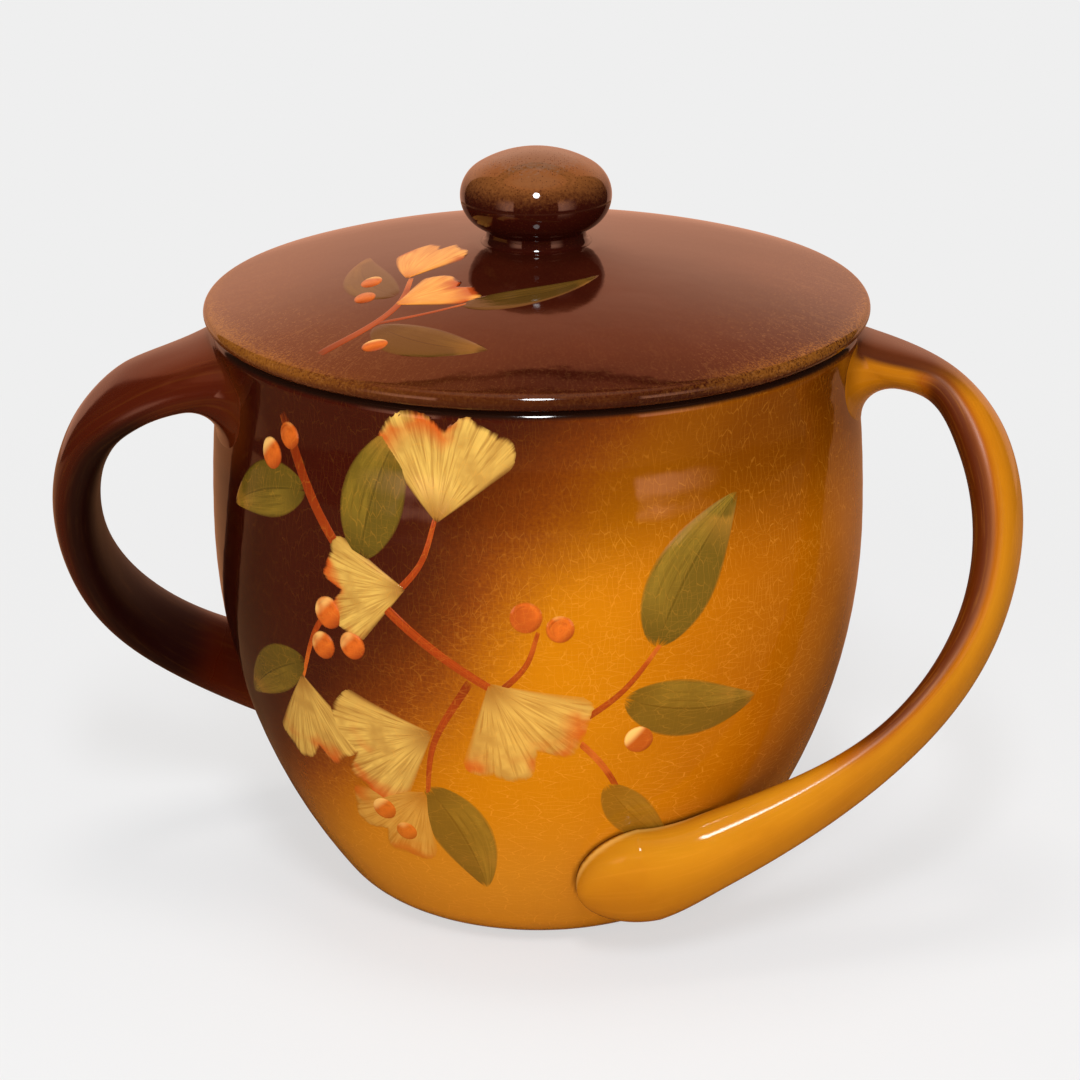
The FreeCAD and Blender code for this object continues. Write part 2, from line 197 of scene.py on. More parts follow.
def wall_radius(height):
    """The pot's outside radius at a height."""
    if height < foot_top:
        reach = FOOT_ROUND ** 2 - (FOOT_ROUND - max(height, 0.0)) ** 2
        return FOOT_RADIUS + math.sqrt(reach)
    if height < BELLY_HEIGHT:
        return belly_centre_r + math.sqrt(BELLY_CURVE ** 2 - (height - BELLY_HEIGHT) ** 2)
    if height < THROAT_HEIGHT:
        return shoulder_centre_r + math.sqrt(SHOULDER_CURVE ** 2 - (height - BELLY_HEIGHT) ** 2)
    if height < rim_turn:
        return flare_centre.x - math.sqrt(flare_curve ** 2 - (height - flare_centre.y) ** 2)
    over = min(height, RIM_HEIGHT) - rim_turn
    return RIM_RADIUS - RIM_ROUND + math.sqrt(max(RIM_ROUND ** 2 - over ** 2, 0.0))


def wall_out(height):
    """The wall's outward direction at a height, as radius and height."""
    step = 0.05 * MM
    slope = (wall_radius(height + step) - wall_radius(height - step)) / (2 * step)
    return Vector((1, -slope)).normalized()


def wall_distance(point):
    """How far a point stands out from the wall; inside it, the distance is negative."""
    out = wall_out(point.z)
    return (math.hypot(point.x, point.y) - wall_radius(point.z)) * out.x


def wall_normal(point):
    """The wall's outward direction beside a point."""
    out = wall_out(point.z)
    radius = math.hypot(point.x, point.y)
    return Vector((point.x / radius * out.x, point.y / radius * out.x, out.y))


def set_to_wall(point, distance):
    """Move a point straight in or out until it stands that far from the wall."""
    return point + wall_normal(point) * (distance - wall_distance(point))


THROWING_RISE = 6.5 * MM
RING_DEPTH = 0.025 * MM
WAVE_DEPTH = 0.16 * MM


def throwing(angle, height):
    """The faint unevenness that the potter's fingers and the trimming leave, always inward."""
    ring = 0.5 + 0.5 * math.sin(height / THROWING_RISE * 2 * math.pi + 2 * math.sin(angle))
    place = Vector((math.cos(angle) * 1.6, math.sin(angle) * 1.6, height / (40 * MM)))
    wave = 0.5 + 0.5 * noise.noise(place)
    near_edge = smooth_step(height, 2 * MM, 12 * MM) * (1 - smooth_step(height, 0.14, 0.148))
    return -(RING_DEPTH * ring + WAVE_DEPTH * wave) * near_edge


def add_object(name, data):
    """Put an object in the scene."""
    thing = bpy.data.objects.new(name, data)
    bpy.context.scene.collection.objects.link(thing)
    return thing


def new_piece(name, points, faces, materials, body, replaced=None):
    """Make a smooth mesh piece, and put it on its body."""
    mesh = bpy.data.meshes.new(name)
    mesh.from_pydata([tuple(point) for point in points], [], faces)
    mesh.polygons.foreach_set("use_smooth", [True] * len(mesh.polygons))
    for material in materials:
        mesh.materials.append(material)
    mesh.update()
    piece = add_object(name, mesh)
    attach(piece, body)
    if replaced:
        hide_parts(replaced)
    return piece


def keep_numbers(piece, **lists):
    """Store one or three numbers for each point of a piece, for its material to read."""
    for name, numbers in lists.items():
        single = len(numbers) == len(piece.data.vertices)
        attribute = piece.data.attributes.new(name, "FLOAT" if single else "FLOAT_VECTOR", "POINT")
        attribute.data.foreach_set("value" if single else "vector", np.asarray(numbers, np.float32))


def turned_piece(name, runs, turn_steps, materials, body, replaced, uneven=None):
    """Turn a section round the axis. runs is a list of (material index, points) in order.

    The section starts and ends on the axis, where its first and last rings close to a point.
    """
    section = [point for _, points in runs for point in points]
    finish = [index for index, points in runs for _ in points]
    points = [(0, 0, section[0][1])]
    for radius, height in section[1:-1]:
        for count in range(turn_steps):
            angle = 2 * math.pi * count / turn_steps
            reach = radius + (uneven(angle, radius, height) if uneven else 0.0)
            points.append(polar(reach, angle, height))
    points.append((0, 0, section[-1][1]))
    around = neighbours(turn_steps)
    faces = [(0, 1 + after, 1 + here) for here, after in around]
    last = 1 + (len(section) - 3) * turn_steps
    for low in range(1, last, turn_steps):
        high = low + turn_steps
        faces += [(low + here, low + after, high + after, high + here) for here, after in around]
    faces += [(last + here, last + after, len(points) - 1) for here, after in around]
    piece = new_piece(name, points, faces, materials, body, replaced)
    each_face = [index for index in finish[1:] for _ in around]
    piece.data.polygons.foreach_set("material_index", each_face)
    return piece


class Board:
    """A node tree, with short ways to add a node and join it."""

    def __init__(self, tree):
        self.tree = tree

    def add(self, kind, **settings):
        node = self.tree.nodes.new(kind)
        for name, value in settings.items():
            setattr(node, name, value)
        return node

    def plug(self, value, socket):
        if isinstance(value, bpy.types.NodeSocket):
            self.tree.links.new(value, socket)
        else:
            socket.default_value = value

    def fill(self, node, **values):
        """Give a node its values by the names of its sockets."""
        for name, value in values.items():
            self.plug(value, node.inputs[name.replace("_", " ")])
        return node

    def feed(self, kind, *values, **settings):
        """Add a node, its values in the order of its sockets; returns its first output."""
        node = self.add(kind, **settings)
        for value, socket in zip(values, node.inputs):
            self.plug(value, socket)
        return next(iter(node.outputs), None)

    def maths(self, operation, *values, clamp=False):
        return self.feed("ShaderNodeMath", *values, operation=operation, use_clamp=clamp)

    def times(self, first, *others):
        for other in others:
            first = self.maths("MULTIPLY", first, other)
        return first

    def highest(self, first, *others):
        for other in others:
            first = self.maths("MAXIMUM", first, other)
        return first

    def line(self, value, slope, start):
        """Slope times the value, plus start."""
        return self.maths("MULTIPLY_ADD", value, slope, start)

    def strayed(self, value, chance, reach):
        """The value moved to either side, by half of reach at most."""
        return self.maths("ADD", value, self.line(chance, reach, -reach / 2))

    def between(self, value, low, high, start=0.0, finish=1.0):
        """A smooth step from start to finish as the value goes from low to high."""
        return self.feed("ShaderNodeMapRange", value, low, high, start, finish,
                         interpolation_type="SMOOTHSTEP")

    def mix(self, share, first, second, blend="MIX"):
        node = self.add("ShaderNodeMix", data_type="RGBA", blend_type=blend)
        for value, socket in ((share, "Factor"), (first, 6), (second, 7)):
            self.plug(value, node.inputs[socket])
        return node.outputs[2]

    def tinted(self, colour, *layers):
        """Multiply a colour by each layer's red, green and blue, as far as its share says."""
        for share, strengths in layers:
            colour = self.mix(share, colour, (*strengths, 1), "MULTIPLY")
        return colour

    def noise(self, vector, scale, detail=2.0, roughness=0.5, distortion=0.0):
        node = self.add("ShaderNodeTexNoise")
        return self.fill(node, Vector=vector, Scale=scale, Detail=detail, Roughness=roughness,
                         Distortion=distortion).outputs["Fac"]

    def parts(self, vector):
        node = self.add("ShaderNodeSeparateXYZ")
        self.plug(vector, node.inputs[0])
        return node.outputs

    def stored(self, name, output="Fac"):
        """Numbers that the mesh keeps at its points."""
        return self.add("ShaderNodeAttribute", attribute_name=name).outputs[output]

    def where(self, output="Object"):
        """Texture coordinates of one kind."""
        return self.add("ShaderNodeTexCoord").outputs[output]

    def bump(self, height, strength, distance):
        return self.fill(self.add("ShaderNodeBump"), Strength=strength, Distance=distance,
                         Height=height).outputs[0]

    def use(self, group, **values):
        """Place a shared effect, with its own values by socket name; returns its outputs."""
        return self.fill(self.add("ShaderNodeGroup", node_tree=group), **values).outputs


def empty_tree(owner):
    """The cleared node tree of a material or the world."""
    owner.use_nodes = True
    owner.node_tree.nodes.clear()
    return owner.node_tree


def new_effect(name, inputs, outputs):
    """A shader node group with named sockets; returns its board, and what it takes and gives."""
    group = bpy.data.node_groups.new(name, "ShaderNodeTree")
    for label, kind, value in inputs:
        socket = group.interface.new_socket(name=label, in_out="INPUT", socket_type=kind)
        if value is not None:
            socket.default_value = value
    for label, kind in outputs:
        group.interface.new_socket(name=label, in_out="OUTPUT", socket_type=kind)
    board = Board(group)
    taken = board.add("NodeGroupInput").outputs
    given = board.add("NodeGroupOutput").inputs
    return board, taken, given


FLOAT = "NodeSocketFloat"
COLOUR = "NodeSocketColor"
VECTOR = "NodeSocketVector"


def make_sprayed_ground():
    """Slips sprayed one over another: dark on the left shoulder, gold low down and on the right."""
    board, taken, given = new_effect("sprayed ground", (
        ("Place", VECTOR, None),
        ("Dark", COLOUR, paint(56, 14, 6)),
        ("Between", COLOUR, paint(132, 62, 12)),
        ("Gold", COLOUR, paint(195, 119, 4)),
    ), (("Color", COLOUR), ("Gold Share", FLOAT)))
    place = board.parts(taken["Place"])
    across = board.line(place[2], -0.72, place[0])
    cloud = board.noise(taken["Place"], 15.0, 3.0, 0.5)
    gold_share = board.between(board.strayed(across, cloud, 0.036), -0.125, -0.045)
    mist = board.line(board.noise(taken["Place"], 1200.0, 2.0, 0.6), 0.24, -0.12)
    at_edge = board.times(gold_share, board.maths("SUBTRACT", 1.0, gold_share), 4.0)
    share = board.maths("ADD", gold_share, board.times(at_edge, mist), clamp=True)
    colour = board.mix(board.between(share, 0.0, 0.6), taken["Dark"], taken["Between"])
    colour = board.mix(board.between(share, 0.35, 1.0), colour, taken["Gold"])
    streak = board.noise(taken["Place"], 60.0, 4.0, 0.6)
    colour = board.tinted(colour, (board.between(streak, 0.45, 0.8, 0.0, 0.3), (0.80, 0.68, 0.5)))
    board.plug(colour, given["Color"])
    board.plug(share, given["Gold Share"])
    return board.tree


def make_crazing():
    """The fine cracks of an old glaze: a net drawn out round the pot, and one drawn out upwards."""
    board, taken, given = new_effect("crazing", (
        ("Place", VECTOR, None),
        ("Spacing", FLOAT, 0.0014),
        ("Wander", FLOAT, 1.1),
        ("Line Width", FLOAT, 0.06),
    ), (("Level", FLOAT), ("Upright", FLOAT)))
    place = board.parts(taken["Place"])
    round_pot = board.times(board.maths("ARCTAN2", place[1], place[0]), BELLY_RADIUS)
    for label, long_round, long_up, bend in (("Level", 4.4, 1.0, 90.0), ("Upright", 1.0, 3.8, 120.0)):
        spot = []
        for way, longer, scale in ((round_pot, long_round, bend), (place[2], long_up, bend * 1.4)):
            wander = board.maths("SUBTRACT", board.noise(taken["Place"], scale, 3.0, 0.55), 0.5)
            count = board.maths("DIVIDE", way, board.times(taken["Spacing"], longer))
            spot.append(board.maths("ADD", count, board.times(wander, taken["Wander"])))
        cells = board.add("ShaderNodeTexVoronoi", feature="DISTANCE_TO_EDGE", voronoi_dimensions="2D")
        board.fill(cells, Vector=board.feed("ShaderNodeCombineXYZ", *spot), Scale=1.0)
        crack = board.between(cells.outputs["Distance"], 0.0, taken["Line Width"], 1.0, 0.0)
        broken = board.between(board.noise(taken["Place"], bend * 2, 2.0), 0.36, 0.56, 0.15, 1.0)
        board.plug(board.times(crack, broken), given[label])
    return board.tree


def make_speckle():
    """Small iron spots, as many as Amount says."""
    board, taken, given = new_effect("iron speckle", (
        ("Place", VECTOR, None),
        ("Spot Size", FLOAT, 0.0008),
        ("Amount", FLOAT, 0.2),
    ), (("Spots", FLOAT),))
    cells = board.fill(board.add("ShaderNodeTexVoronoi", feature="F1"), Vector=taken["Place"],
                       Scale=board.maths("DIVIDE", 1.0, taken["Spot Size"])).outputs
    near = board.between(cells["Distance"], 0.15, 0.45, 1.0, 0.0)
    present = board.maths("LESS_THAN", board.parts(cells["Color"])[0], taken["Amount"])
    board.plug(board.times(near, present), given["Spots"])
    return board.tree


def make_brushwork():
    """Brush marks along a stroke: U runs across it and V along it."""
    board, taken, given = new_effect("brushwork", (
        ("Stroke", VECTOR, None),
        ("Marks", FLOAT, 22.0),
        ("Length", FLOAT, 1.6),
    ), (("Bristles", FLOAT), ("Cover", FLOAT), ("Along", FLOAT), ("Across", FLOAT)))
    across, along, _ = board.parts(taken["Stroke"])
    spot = board.feed("ShaderNodeCombineXYZ", board.times(across, taken["Marks"]),
                      board.times(along, taken["Length"]))
    bristles = board.noise(spot, 1.0, 3.0, 0.6, 0.3)
    patchy = board.noise(spot, 0.35, 2.0, 0.5)
    middle = board.maths("ABSOLUTE", board.line(across, 2.0, -1.0))
    ragged = board.line(board.maths("ADD", bristles, patchy), 0.1, -0.1)
    aside, onward = (board.maths("ADD", value, ragged) for value in (middle, along))
    cover = board.times(board.between(aside, 0.82, 0.97, 1.0, 0.0),
                        board.between(onward, 0.0, 0.07),
                        board.between(onward, 0.93, 1.0, 1.0, 0.0))
    for label, value in (("Bristles", bristles), ("Cover", cover), ("Along", along),
                         ("Across", middle)):
        board.plug(value, given[label])
    return board.tree


sprayed_ground = make_sprayed_ground()
crazing = make_crazing()
speckle = make_speckle()
brushwork = make_brushwork()

CRAZE_LIGHT = paint(238, 160, 52)
# Brown for pooled glaze and for painted shade beside the joins.
POOL_AND_SHADE_BROWN = paint(84, 34, 6)


class Glaze(Board):
    """A fired finish: the nodes of its material, its shader and the object's own coordinates."""

    def __init__(self, name, roughness=0.055):
        self.material = bpy.data.materials.new(name)
        super().__init__(empty_tree(self.material))
        self.shader = self.add("ShaderNodeBsdfPrincipled")
        self.fill(self.shader, IOR=1.5, Roughness=roughness)
        self.feed("ShaderNodeOutputMaterial", self.shader.outputs[0])
        self.place = self.where()

    def cloud(self, *settings):
        """Noise over the object itself."""
        return self.noise(self.place, *settings)

    def coat(self, colour, roughness, bump):
        self.fill(self.shader, Base_Color=colour, Roughness=roughness, Normal=bump)
        return self.material

    def finish(self, colour, relief=None, gloss=(0.035, 0.1), dull=0.0):
        """Give the glaze its colour, uneven gloss and the faint dimples of a fired surface."""
        uneven = self.between(self.cloud(45.0, 3.0), 0.3, 0.7, *gloss)
        height = self.line(self.cloud(320.0, 1.0), 0.12, self.cloud(55.0, 2.0))
        if relief is not None:
            height = self.maths("ADD", height, relief)
        return self.coat(colour, self.line(dull, 0.3, uneven), self.bump(height, 0.35, 0.00035))

    def crazed(self, colour, gold_share, strength=0.34):
        """Crack lines that show on gold and fade out on dark: level low down, upright above."""
        lines = self.use(crazing, Place=self.place)
        spot = self.line(self.cloud(25.0, 2.0), 0.06, self.parts(self.place)[2])
        level = self.times(lines["Level"], self.between(spot, 0.09, 0.16, 1.0, 0.35))
        upright = self.times(lines["Upright"], self.between(spot, 0.08, 0.15, 0.35, 1.0))
        shown = self.times(self.highest(level, upright),
                           self.between(gold_share, 0.0, 1.0, 0.03, strength))
        return self.mix(shown, colour, CRAZE_LIGHT)

    def pooled_and_shaded(self, colour):
        """Darker beside a join: glaze that has run together there, with painted shade in the crease.
        """
        return self.mix(self.stored("glaze_pool"), colour, POOL_AND_SHADE_BROWN)

    def speckled(self, colour, amount, spot_colour, size=0.0008):
        spots = self.use(speckle, Place=self.place, Spot_Size=size, Amount=amount)
        return self.mix(spots["Spots"], colour, spot_colour)


def wall_ground(glaze):
    """The pot's sprayed slips, darker on the shoulder and at both sides, with painted shade and light
    laid over them.
    """
    ground = glaze.use(sprayed_ground, Place=glaze.place)
    gold_share = ground["Gold Share"]
    across, _, height = glaze.parts(glaze.place)
    # Painted shadow of the lid and the strap's root on the wall just under the rim, at the right.
    painted_lid_shadow = glaze.times(glaze.between(height, 128 * MM, 148 * MM, 0.0, 0.8),
                            glaze.between(across, 55 * MM, 80 * MM))
    # Painted shade: darker towards the right and at the left edge, where the pot turns from the
    # light; darker on the shoulder, partly deeper glaze and partly painted shade.
    colour = glaze.tinted(
        ground["Color"],
        (glaze.between(across, 0.0, 60 * MM), (0.74, 0.61, 0.42)),
        (glaze.between(across, -58 * MM, -80 * MM), (0.5, 0.45, 0.4)),
        (glaze.between(height, 104 * MM, 135 * MM, 0.0, gold_share), (0.41, 0.36, 0.38)),
        (painted_lid_shadow, (0.4, 0.32, 0.3)))
    # Lighter and yellower low down: partly the glaze's own colour, partly painted light from the
    # floor.
    low = glaze.times(glaze.between(height, 55 * MM, 18 * MM, 0.0, 0.55), gold_share)
    colour = glaze.mix(low, colour, paint(204, 138, 40))
    crazed = glaze.times(gold_share, glaze.between(height, 104 * MM, 135 * MM, 1.0, 0.45))
    return colour, crazed


def make_wall_glaze():
    """The pot's outside, with a painted shadow along the top of the rim, where the lid sits."""
    glaze = Glaze("wall_glaze")
    colour, crazed = wall_ground(glaze)
    colour = glaze.pooled_and_shaded(glaze.crazed(colour, crazed))
    # Painted shadow: near black-brown over the rim's top, under the lid's edge.
    lip = glaze.between(glaze.parts(glaze.place)[2], RIM_HEIGHT - 2.6 * MM, RIM_HEIGHT - 1.4 * MM)
    return glaze.finish(glaze.mix(lip, colour, paint(30, 14, 8)))


def make_strap_glaze(name, brown_root):
    """The straps' glaze; one strap is golden with a brown top where it leaves the rim."""
    glaze = Glaze(name)
    glaze.shader.inputs["Specular IOR Level"].default_value = 0.3 if brown_root else 0.45
    ground = glaze.use(sprayed_ground, Place=glaze.place, Dark=paint(72, 23, 11),
                       Gold=paint(186, 122, 20))
    gold_share = ground["Gold Share"]
    height = glaze.parts(glaze.place)[2]
    dull = glaze.stored("inner_side")
    brown = 0.0
    # Darker on the side that faces the pot: partly less slip sprayed there, partly painted shade.
    colour = glaze.tinted(ground["Color"],
                          (glaze.between(height, 85 * MM, 130 * MM), (0.86, 0.76, 0.5)),
                          (glaze.between(dull, 0.0, 0.5), (0.7, 0.5, 0.15)),
                          (glaze.between(dull, 0.4, 1.0), (0.26, 0.15, 0.15)))
    if brown_root:
        upward = glaze.parts(glaze.where("Normal"))[2]
        spot = glaze.line(glaze.cloud(55.0, 3.0), 0.006, height)
        brown = glaze.times(glaze.between(spot, 0.136, 0.148), glaze.between(upward, 0.05, 0.55))
        colour = glaze.mix(brown, colour, paint(76, 34, 12))
        dull = glaze.highest(dull, glaze.times(brown, 0.5))
    pulled = glaze.stored("pulled", "Vector")
    up_side, out_side, _ = glaze.parts(pulled)
    blotch = glaze.cloud(38.0, 3.0, 0.55)
    # Painted light and shade round the strap's section: lighter over its outer side, darker along the
    # edge where up_side is below zero; the blotches are the glaze's own tone.
    colour = glaze.tinted(
        colour,
        (glaze.times(glaze.between(out_side, 0.1, 0.95), gold_share), (1.16, 1.14, 1.1)),
        (glaze.times(glaze.between(up_side, -0.2, -0.95), gold_share), (0.8, 0.66, 0.5)),
        (glaze.between(blotch, 0.4, 0.7, 0.0, 0.5), (0.86, 0.78, 0.7)))
    hair = glaze.times(glaze.between(glaze.noise(pulled, 9.0, 4.0, 0.65), 0.5, 0.7),
                       glaze.maths("SUBTRACT", 1.0, brown),
                       glaze.between(gold_share, 0.0, 1.0, 0.02, 0.1))
    colour = glaze.pooled_and_shaded(glaze.mix(hair, colour, CRAZE_LIGHT))
    # Pale line beside the tongue: partly glaze breaking pale over the edge, partly a painted
    # highlight on its bevel.
    edge = glaze.times(glaze.stored("thin_edge"), gold_share)
    colour = glaze.mix(edge, colour, paint(232, 184, 96))
    return glaze.finish(colour, None, (0.1, 0.17), dull)


def make_inside_glaze():
    glaze = Glaze("inside_glaze")
    spot = glaze.line(glaze.cloud(30.0, 4.0, 0.6), 0.05, glaze.parts(glaze.place)[2])
    colour = glaze.mix(glaze.between(spot, 0.03, 0.16), paint(170, 96, 14), paint(84, 34, 8))
    colour = glaze.speckled(colour, 0.12, paint(60, 26, 8))
    return glaze.finish(colour)


def make_bare_clay():
    """The unglazed foot ring and seat: buff stoneware with a toasted tint."""
    glaze = Glaze("bare_clay", 0.75)
    grain = glaze.cloud(1400.0, 3.0, 0.7)
    cloud = glaze.cloud(40.0, 3.0)
    colour = glaze.mix(glaze.between(cloud, 0.35, 0.65), paint(196, 156, 108), paint(158, 112, 70))
    colour = glaze.mix(glaze.between(grain, 0.55, 0.75, 0.0, 0.5), colour, paint(116, 78, 46))
    return glaze.coat(colour, glaze.between(grain, 0.3, 0.7, 0.65, 0.9),
                      glaze.bump(grain, 0.4, 0.0002))


def lid_ground(glaze):
    """The lid's dark red-brown, worn to a speckled ochre on its rolled edge at both sides."""
    right, back, height = glaze.parts(glaze.place)
    radius = glaze.maths("SQRT", glaze.maths("ADD", glaze.times(right, right),
                                             glaze.times(back, back)))
    cloud = glaze.cloud(22.0, 4.0, 0.6)
    colour = glaze.mix(glaze.between(cloud, 0.35, 0.7), paint(44, 11, 5), paint(56, 17, 7))
    warm = glaze.times(glaze.between(radius, 30 * MM, 80 * MM, 0.0, 0.45),
                       glaze.between(right, 10 * MM, -60 * MM))
    colour = glaze.mix(warm, colour, paint(104, 52, 20))
    worn = glaze.strayed(radius, glaze.cloud(1500.0, 3.0, 0.85), 0.024)
    worn = glaze.strayed(worn, cloud, 0.008)
    aside = glaze.maths("DIVIDE", glaze.maths("ABSOLUTE", right), LID_RADIUS)
    ochre = glaze.times(glaze.between(worn, LID_RADIUS - 4 * MM, LID_RADIUS + 1 * MM),
                        glaze.between(aside, 0.3, 0.85, 0.1, 0.85),
                        glaze.between(height, SEAT + 1 * MM, SEAT + 3 * MM))
    colour = glaze.mix(ochre, colour, paint(132, 80, 25))
    bright = glaze.between(glaze.cloud(1250.0, 2.0, 0.8), 0.53, 0.68)
    upright = glaze.use(crazing, Place=glaze.place, Spacing=0.002)["Upright"]
    marks = glaze.times(glaze.highest(bright, glaze.times(upright, 0.7)),
                        glaze.between(radius, 40 * MM, 80 * MM, 0.06, 0.26),
                        glaze.between(aside, 0.25, 0.8, 0.25, 1.0))
    return glaze.mix(marks, colour, paint(168, 112, 62)), None


def make_lid_glaze():
    glaze = Glaze("lid_glaze")
    return glaze.finish(lid_ground(glaze)[0])


def make_slip_paint(name, ground_of, light, deep, tip, marks, fold=0.0, tipped=(0.6, 1.0)):
    """Coloured slip brushed on the ground under the glaze; light is its body, deep its shade.

    fold is how much darker one side of a leaf is than the other, with a vein between them, and
    tipped says from where to where along a stroke the tip's colour comes in.
    """
    glaze = Glaze(name)
    ground, crazed = ground_of(glaze)
    stroke = glaze.stored("stroke", "Vector")
    strokes = glaze.use(brushwork, Stroke=stroke, Marks=marks)
    shade = glaze.highest(glaze.between(strokes["Bristles"], 0.3, 0.75, 0.0, 0.75),
                          glaze.between(glaze.cloud(85.0, 3.0, 0.6), 0.42, 0.7, 0.0, 0.55),
                          glaze.between(strokes["Across"], 0.66, 0.95, 0.0, 0.6),
                          glaze.between(strokes["Along"], 0.5, 0.02, 0.0, 0.85))
    if fold:
        shade = glaze.highest(shade, glaze.between(glaze.parts(stroke)[0], 0.44, 0.56, 0.0, fold),
                              glaze.between(strokes["Across"], 0.01, 0.09, 0.85, 0.0))
    blush = glaze.times(glaze.between(strokes["Along"], *tipped),
                        glaze.between(glaze.cloud(95.0, 2.0, 0.5), 0.42, 0.6))
    colour = glaze.mix(blush, glaze.mix(shade, light, deep), tip)
    cover = glaze.times(strokes["Cover"], glaze.stored("strength"))
    colour = glaze.mix(cover, ground, colour)
    if crazed is not None:
        colour = glaze.crazed(colour, glaze.highest(crazed, cover), 0.14)
    return glaze.finish(colour, glaze.times(strokes["Bristles"], cover, 0.4))


def make_knob_glaze():
    """Near black under the cheek, breaking to a speckled brown on top."""
    glaze = Glaze("knob_glaze")
    spot = glaze.line(glaze.cloud(1300.0, 3.0, 0.75), 0.008, glaze.parts(glaze.place)[2])
    spot = glaze.line(glaze.cloud(60.0, 3.0), 0.004, spot)
    middle = (knob_low.z + knob_high.z) / 2
    colour = glaze.mix(glaze.between(spot, middle + 6 * MM, middle + 13 * MM),
                       paint(44, 10, 5), paint(110, 65, 31))
    colour = glaze.mix(glaze.between(spot, middle + 14 * MM, middle + 16.5 * MM), colour,
                       paint(112, 80, 60))
    colour = glaze.speckled(colour, 0.3, paint(58, 24, 8), 0.0005)
    return glaze.finish(colour)


def body_section():
    """The pot's section from under the foot, up the outside and down the inside."""
    recess = FOOT_RADIUS - FOOT_RING_WIDTH
    clay = [(0, RECESS_DEPTH)]
    for spot, steps in (((recess - 3 * MM, RECESS_DEPTH), 12), ((recess - 0.5 * MM, 0.3 * MM), 4),
                        ((recess, 0), 2), ((FOOT_RADIUS, 0), 4)):
        clay += straight(clay[-1], spot, steps)
    heights = [foot_top * share ** 2 for share in even_steps(0, 1, 14)]
    heights += even_steps(foot_top, rim_turn, 190)
    outside = [(wall_radius(height), height) for height in heights]
    outside += arc(RIM_RADIUS - RIM_ROUND, rim_turn, RIM_ROUND, 0, 90, 10)[1:]
    lip = straight(outside[-1], (MOUTH_RADIUS + MOUTH_ROUND, RIM_HEIGHT), 3)
    lip += arc(MOUTH_RADIUS + MOUTH_ROUND, RIM_HEIGHT - MOUTH_ROUND, MOUTH_ROUND, 90, 180, 6)[1:]
    inside = straight(lip[-1], (MOUTH_RADIUS, THROAT_HEIGHT), 10)
    inner_curve = BELLY_CURVE - WALL
    inner_reach = inner_curve - FLOOR_ROUND
    floor_flat = BELLY_HEIGHT - FLOOR_THICKNESS - FLOOR_ROUND
    floor_radius = belly_centre_r + math.sqrt(inner_reach ** 2 - floor_flat ** 2)
    floor_top = BELLY_HEIGHT - floor_flat * inner_curve / inner_reach
    inner_belly = BELLY_RADIUS - WALL
    for share in even_steps(0, 1, 20):
        inside.append((MOUTH_RADIUS + (inner_belly - MOUTH_RADIUS) * smooth_step(share, 0, 1),
                       THROAT_HEIGHT + (BELLY_HEIGHT - THROAT_HEIGHT) * share))
    for height in even_steps(BELLY_HEIGHT, floor_top, 40):
        reach = math.sqrt(inner_curve ** 2 - (height - BELLY_HEIGHT) ** 2)
        inside.append((belly_centre_r + reach, height))
    turn_end = math.degrees(math.atan2(floor_top - FLOOR_THICKNESS - FLOOR_ROUND,
                                       inside[-1][0] - floor_radius))
    inside += arc(floor_radius, FLOOR_THICKNESS + FLOOR_ROUND, FLOOR_ROUND, turn_end, -90, 16)[1:]
    inside += straight(inside[-1], (0, FLOOR_THICKNESS), 16)
    return (0, clay), (1, outside + lip), (2, inside)


def make_body(clay, wall_glaze, inside_glaze):
    def uneven(angle, radius, height):
        on_outside = radius > wall_radius(height) - 0.01 * MM
        return throwing(angle, height) if on_outside else 0.0

    return turned_piece("pot", body_section(), TURN_STEPS, (clay, wall_glaze, inside_glaze),
                        "jar", "jar_body", uneven)


# Where the lid's top runs into its rolled edge
lid_edge_centre = Vector((LID_RADIUS - LID_EDGE_ROUND, SEAT + LID_EDGE_ROUND))
edge_lean = math.radians(LID_SLOPE_OUTSIDE)
lid_edge_touch = lid_edge_centre + LID_EDGE_ROUND * Vector((math.sin(edge_lean),
                                                            math.cos(edge_lean)))


def lid_height(radius):
    """The lid's top at a radius: a low dome that steepens from the knob's seat to the edge."""
    run = lid_edge_touch.x - KNOB_SEAT_RADIUS
    return cubic((radius - KNOB_SEAT_RADIUS) / run, run,
                 LID_TOP, -math.tan(math.radians(LID_SLOPE_INSIDE)),
                 lid_edge_touch.y, -math.tan(edge_lean))


def lid_section():
    """The lid's section from its hollow underside, round the flange and edge, to the top."""
    flange_outside = MOUTH_RADIUS - FLANGE_PLAY
    flange_inside = flange_outside - FLANGE_THICKNESS
    bevel_height = lid_low.z + FLANGE_BEVEL
    under = [(0, LID_TOP - LID_PLATE)]
    under += straight(under[-1], (KNOB_SEAT_RADIUS, LID_TOP - LID_PLATE), 5)
    under += [(radius, lid_height(radius) - LID_PLATE)
              for radius in even_steps(KNOB_SEAT_RADIUS, flange_inside, 30)]
    under += straight(under[-1], (flange_inside, bevel_height), 6)
    clay = arc(flange_inside + FLANGE_BEVEL, bevel_height, FLANGE_BEVEL, 180, 270, 5)
    clay += arc(flange_outside - FLANGE_BEVEL, bevel_height, FLANGE_BEVEL, 270, 360, 5)
    clay += straight(clay[-1], (flange_outside, SEAT), 6)
    top = straight(clay[-1], (lid_edge_centre.x, SEAT), 6)
    top += arc(lid_edge_centre.x, lid_edge_centre.y, LID_EDGE_ROUND, -90,
               90 - LID_SLOPE_OUTSIDE, 20)[1:]
    top += [(radius, lid_height(radius))
            for radius in even_steps(lid_edge_touch.x, KNOB_SEAT_RADIUS + 1 * MM, 70)]
    top += straight(top[-1], (KNOB_SEAT_RADIUS - 0.6 * MM, LID_TOP), 4)
    top += straight(top[-1], (0, LID_TOP), 8)
    return (1, under), (0, clay), (2, top)


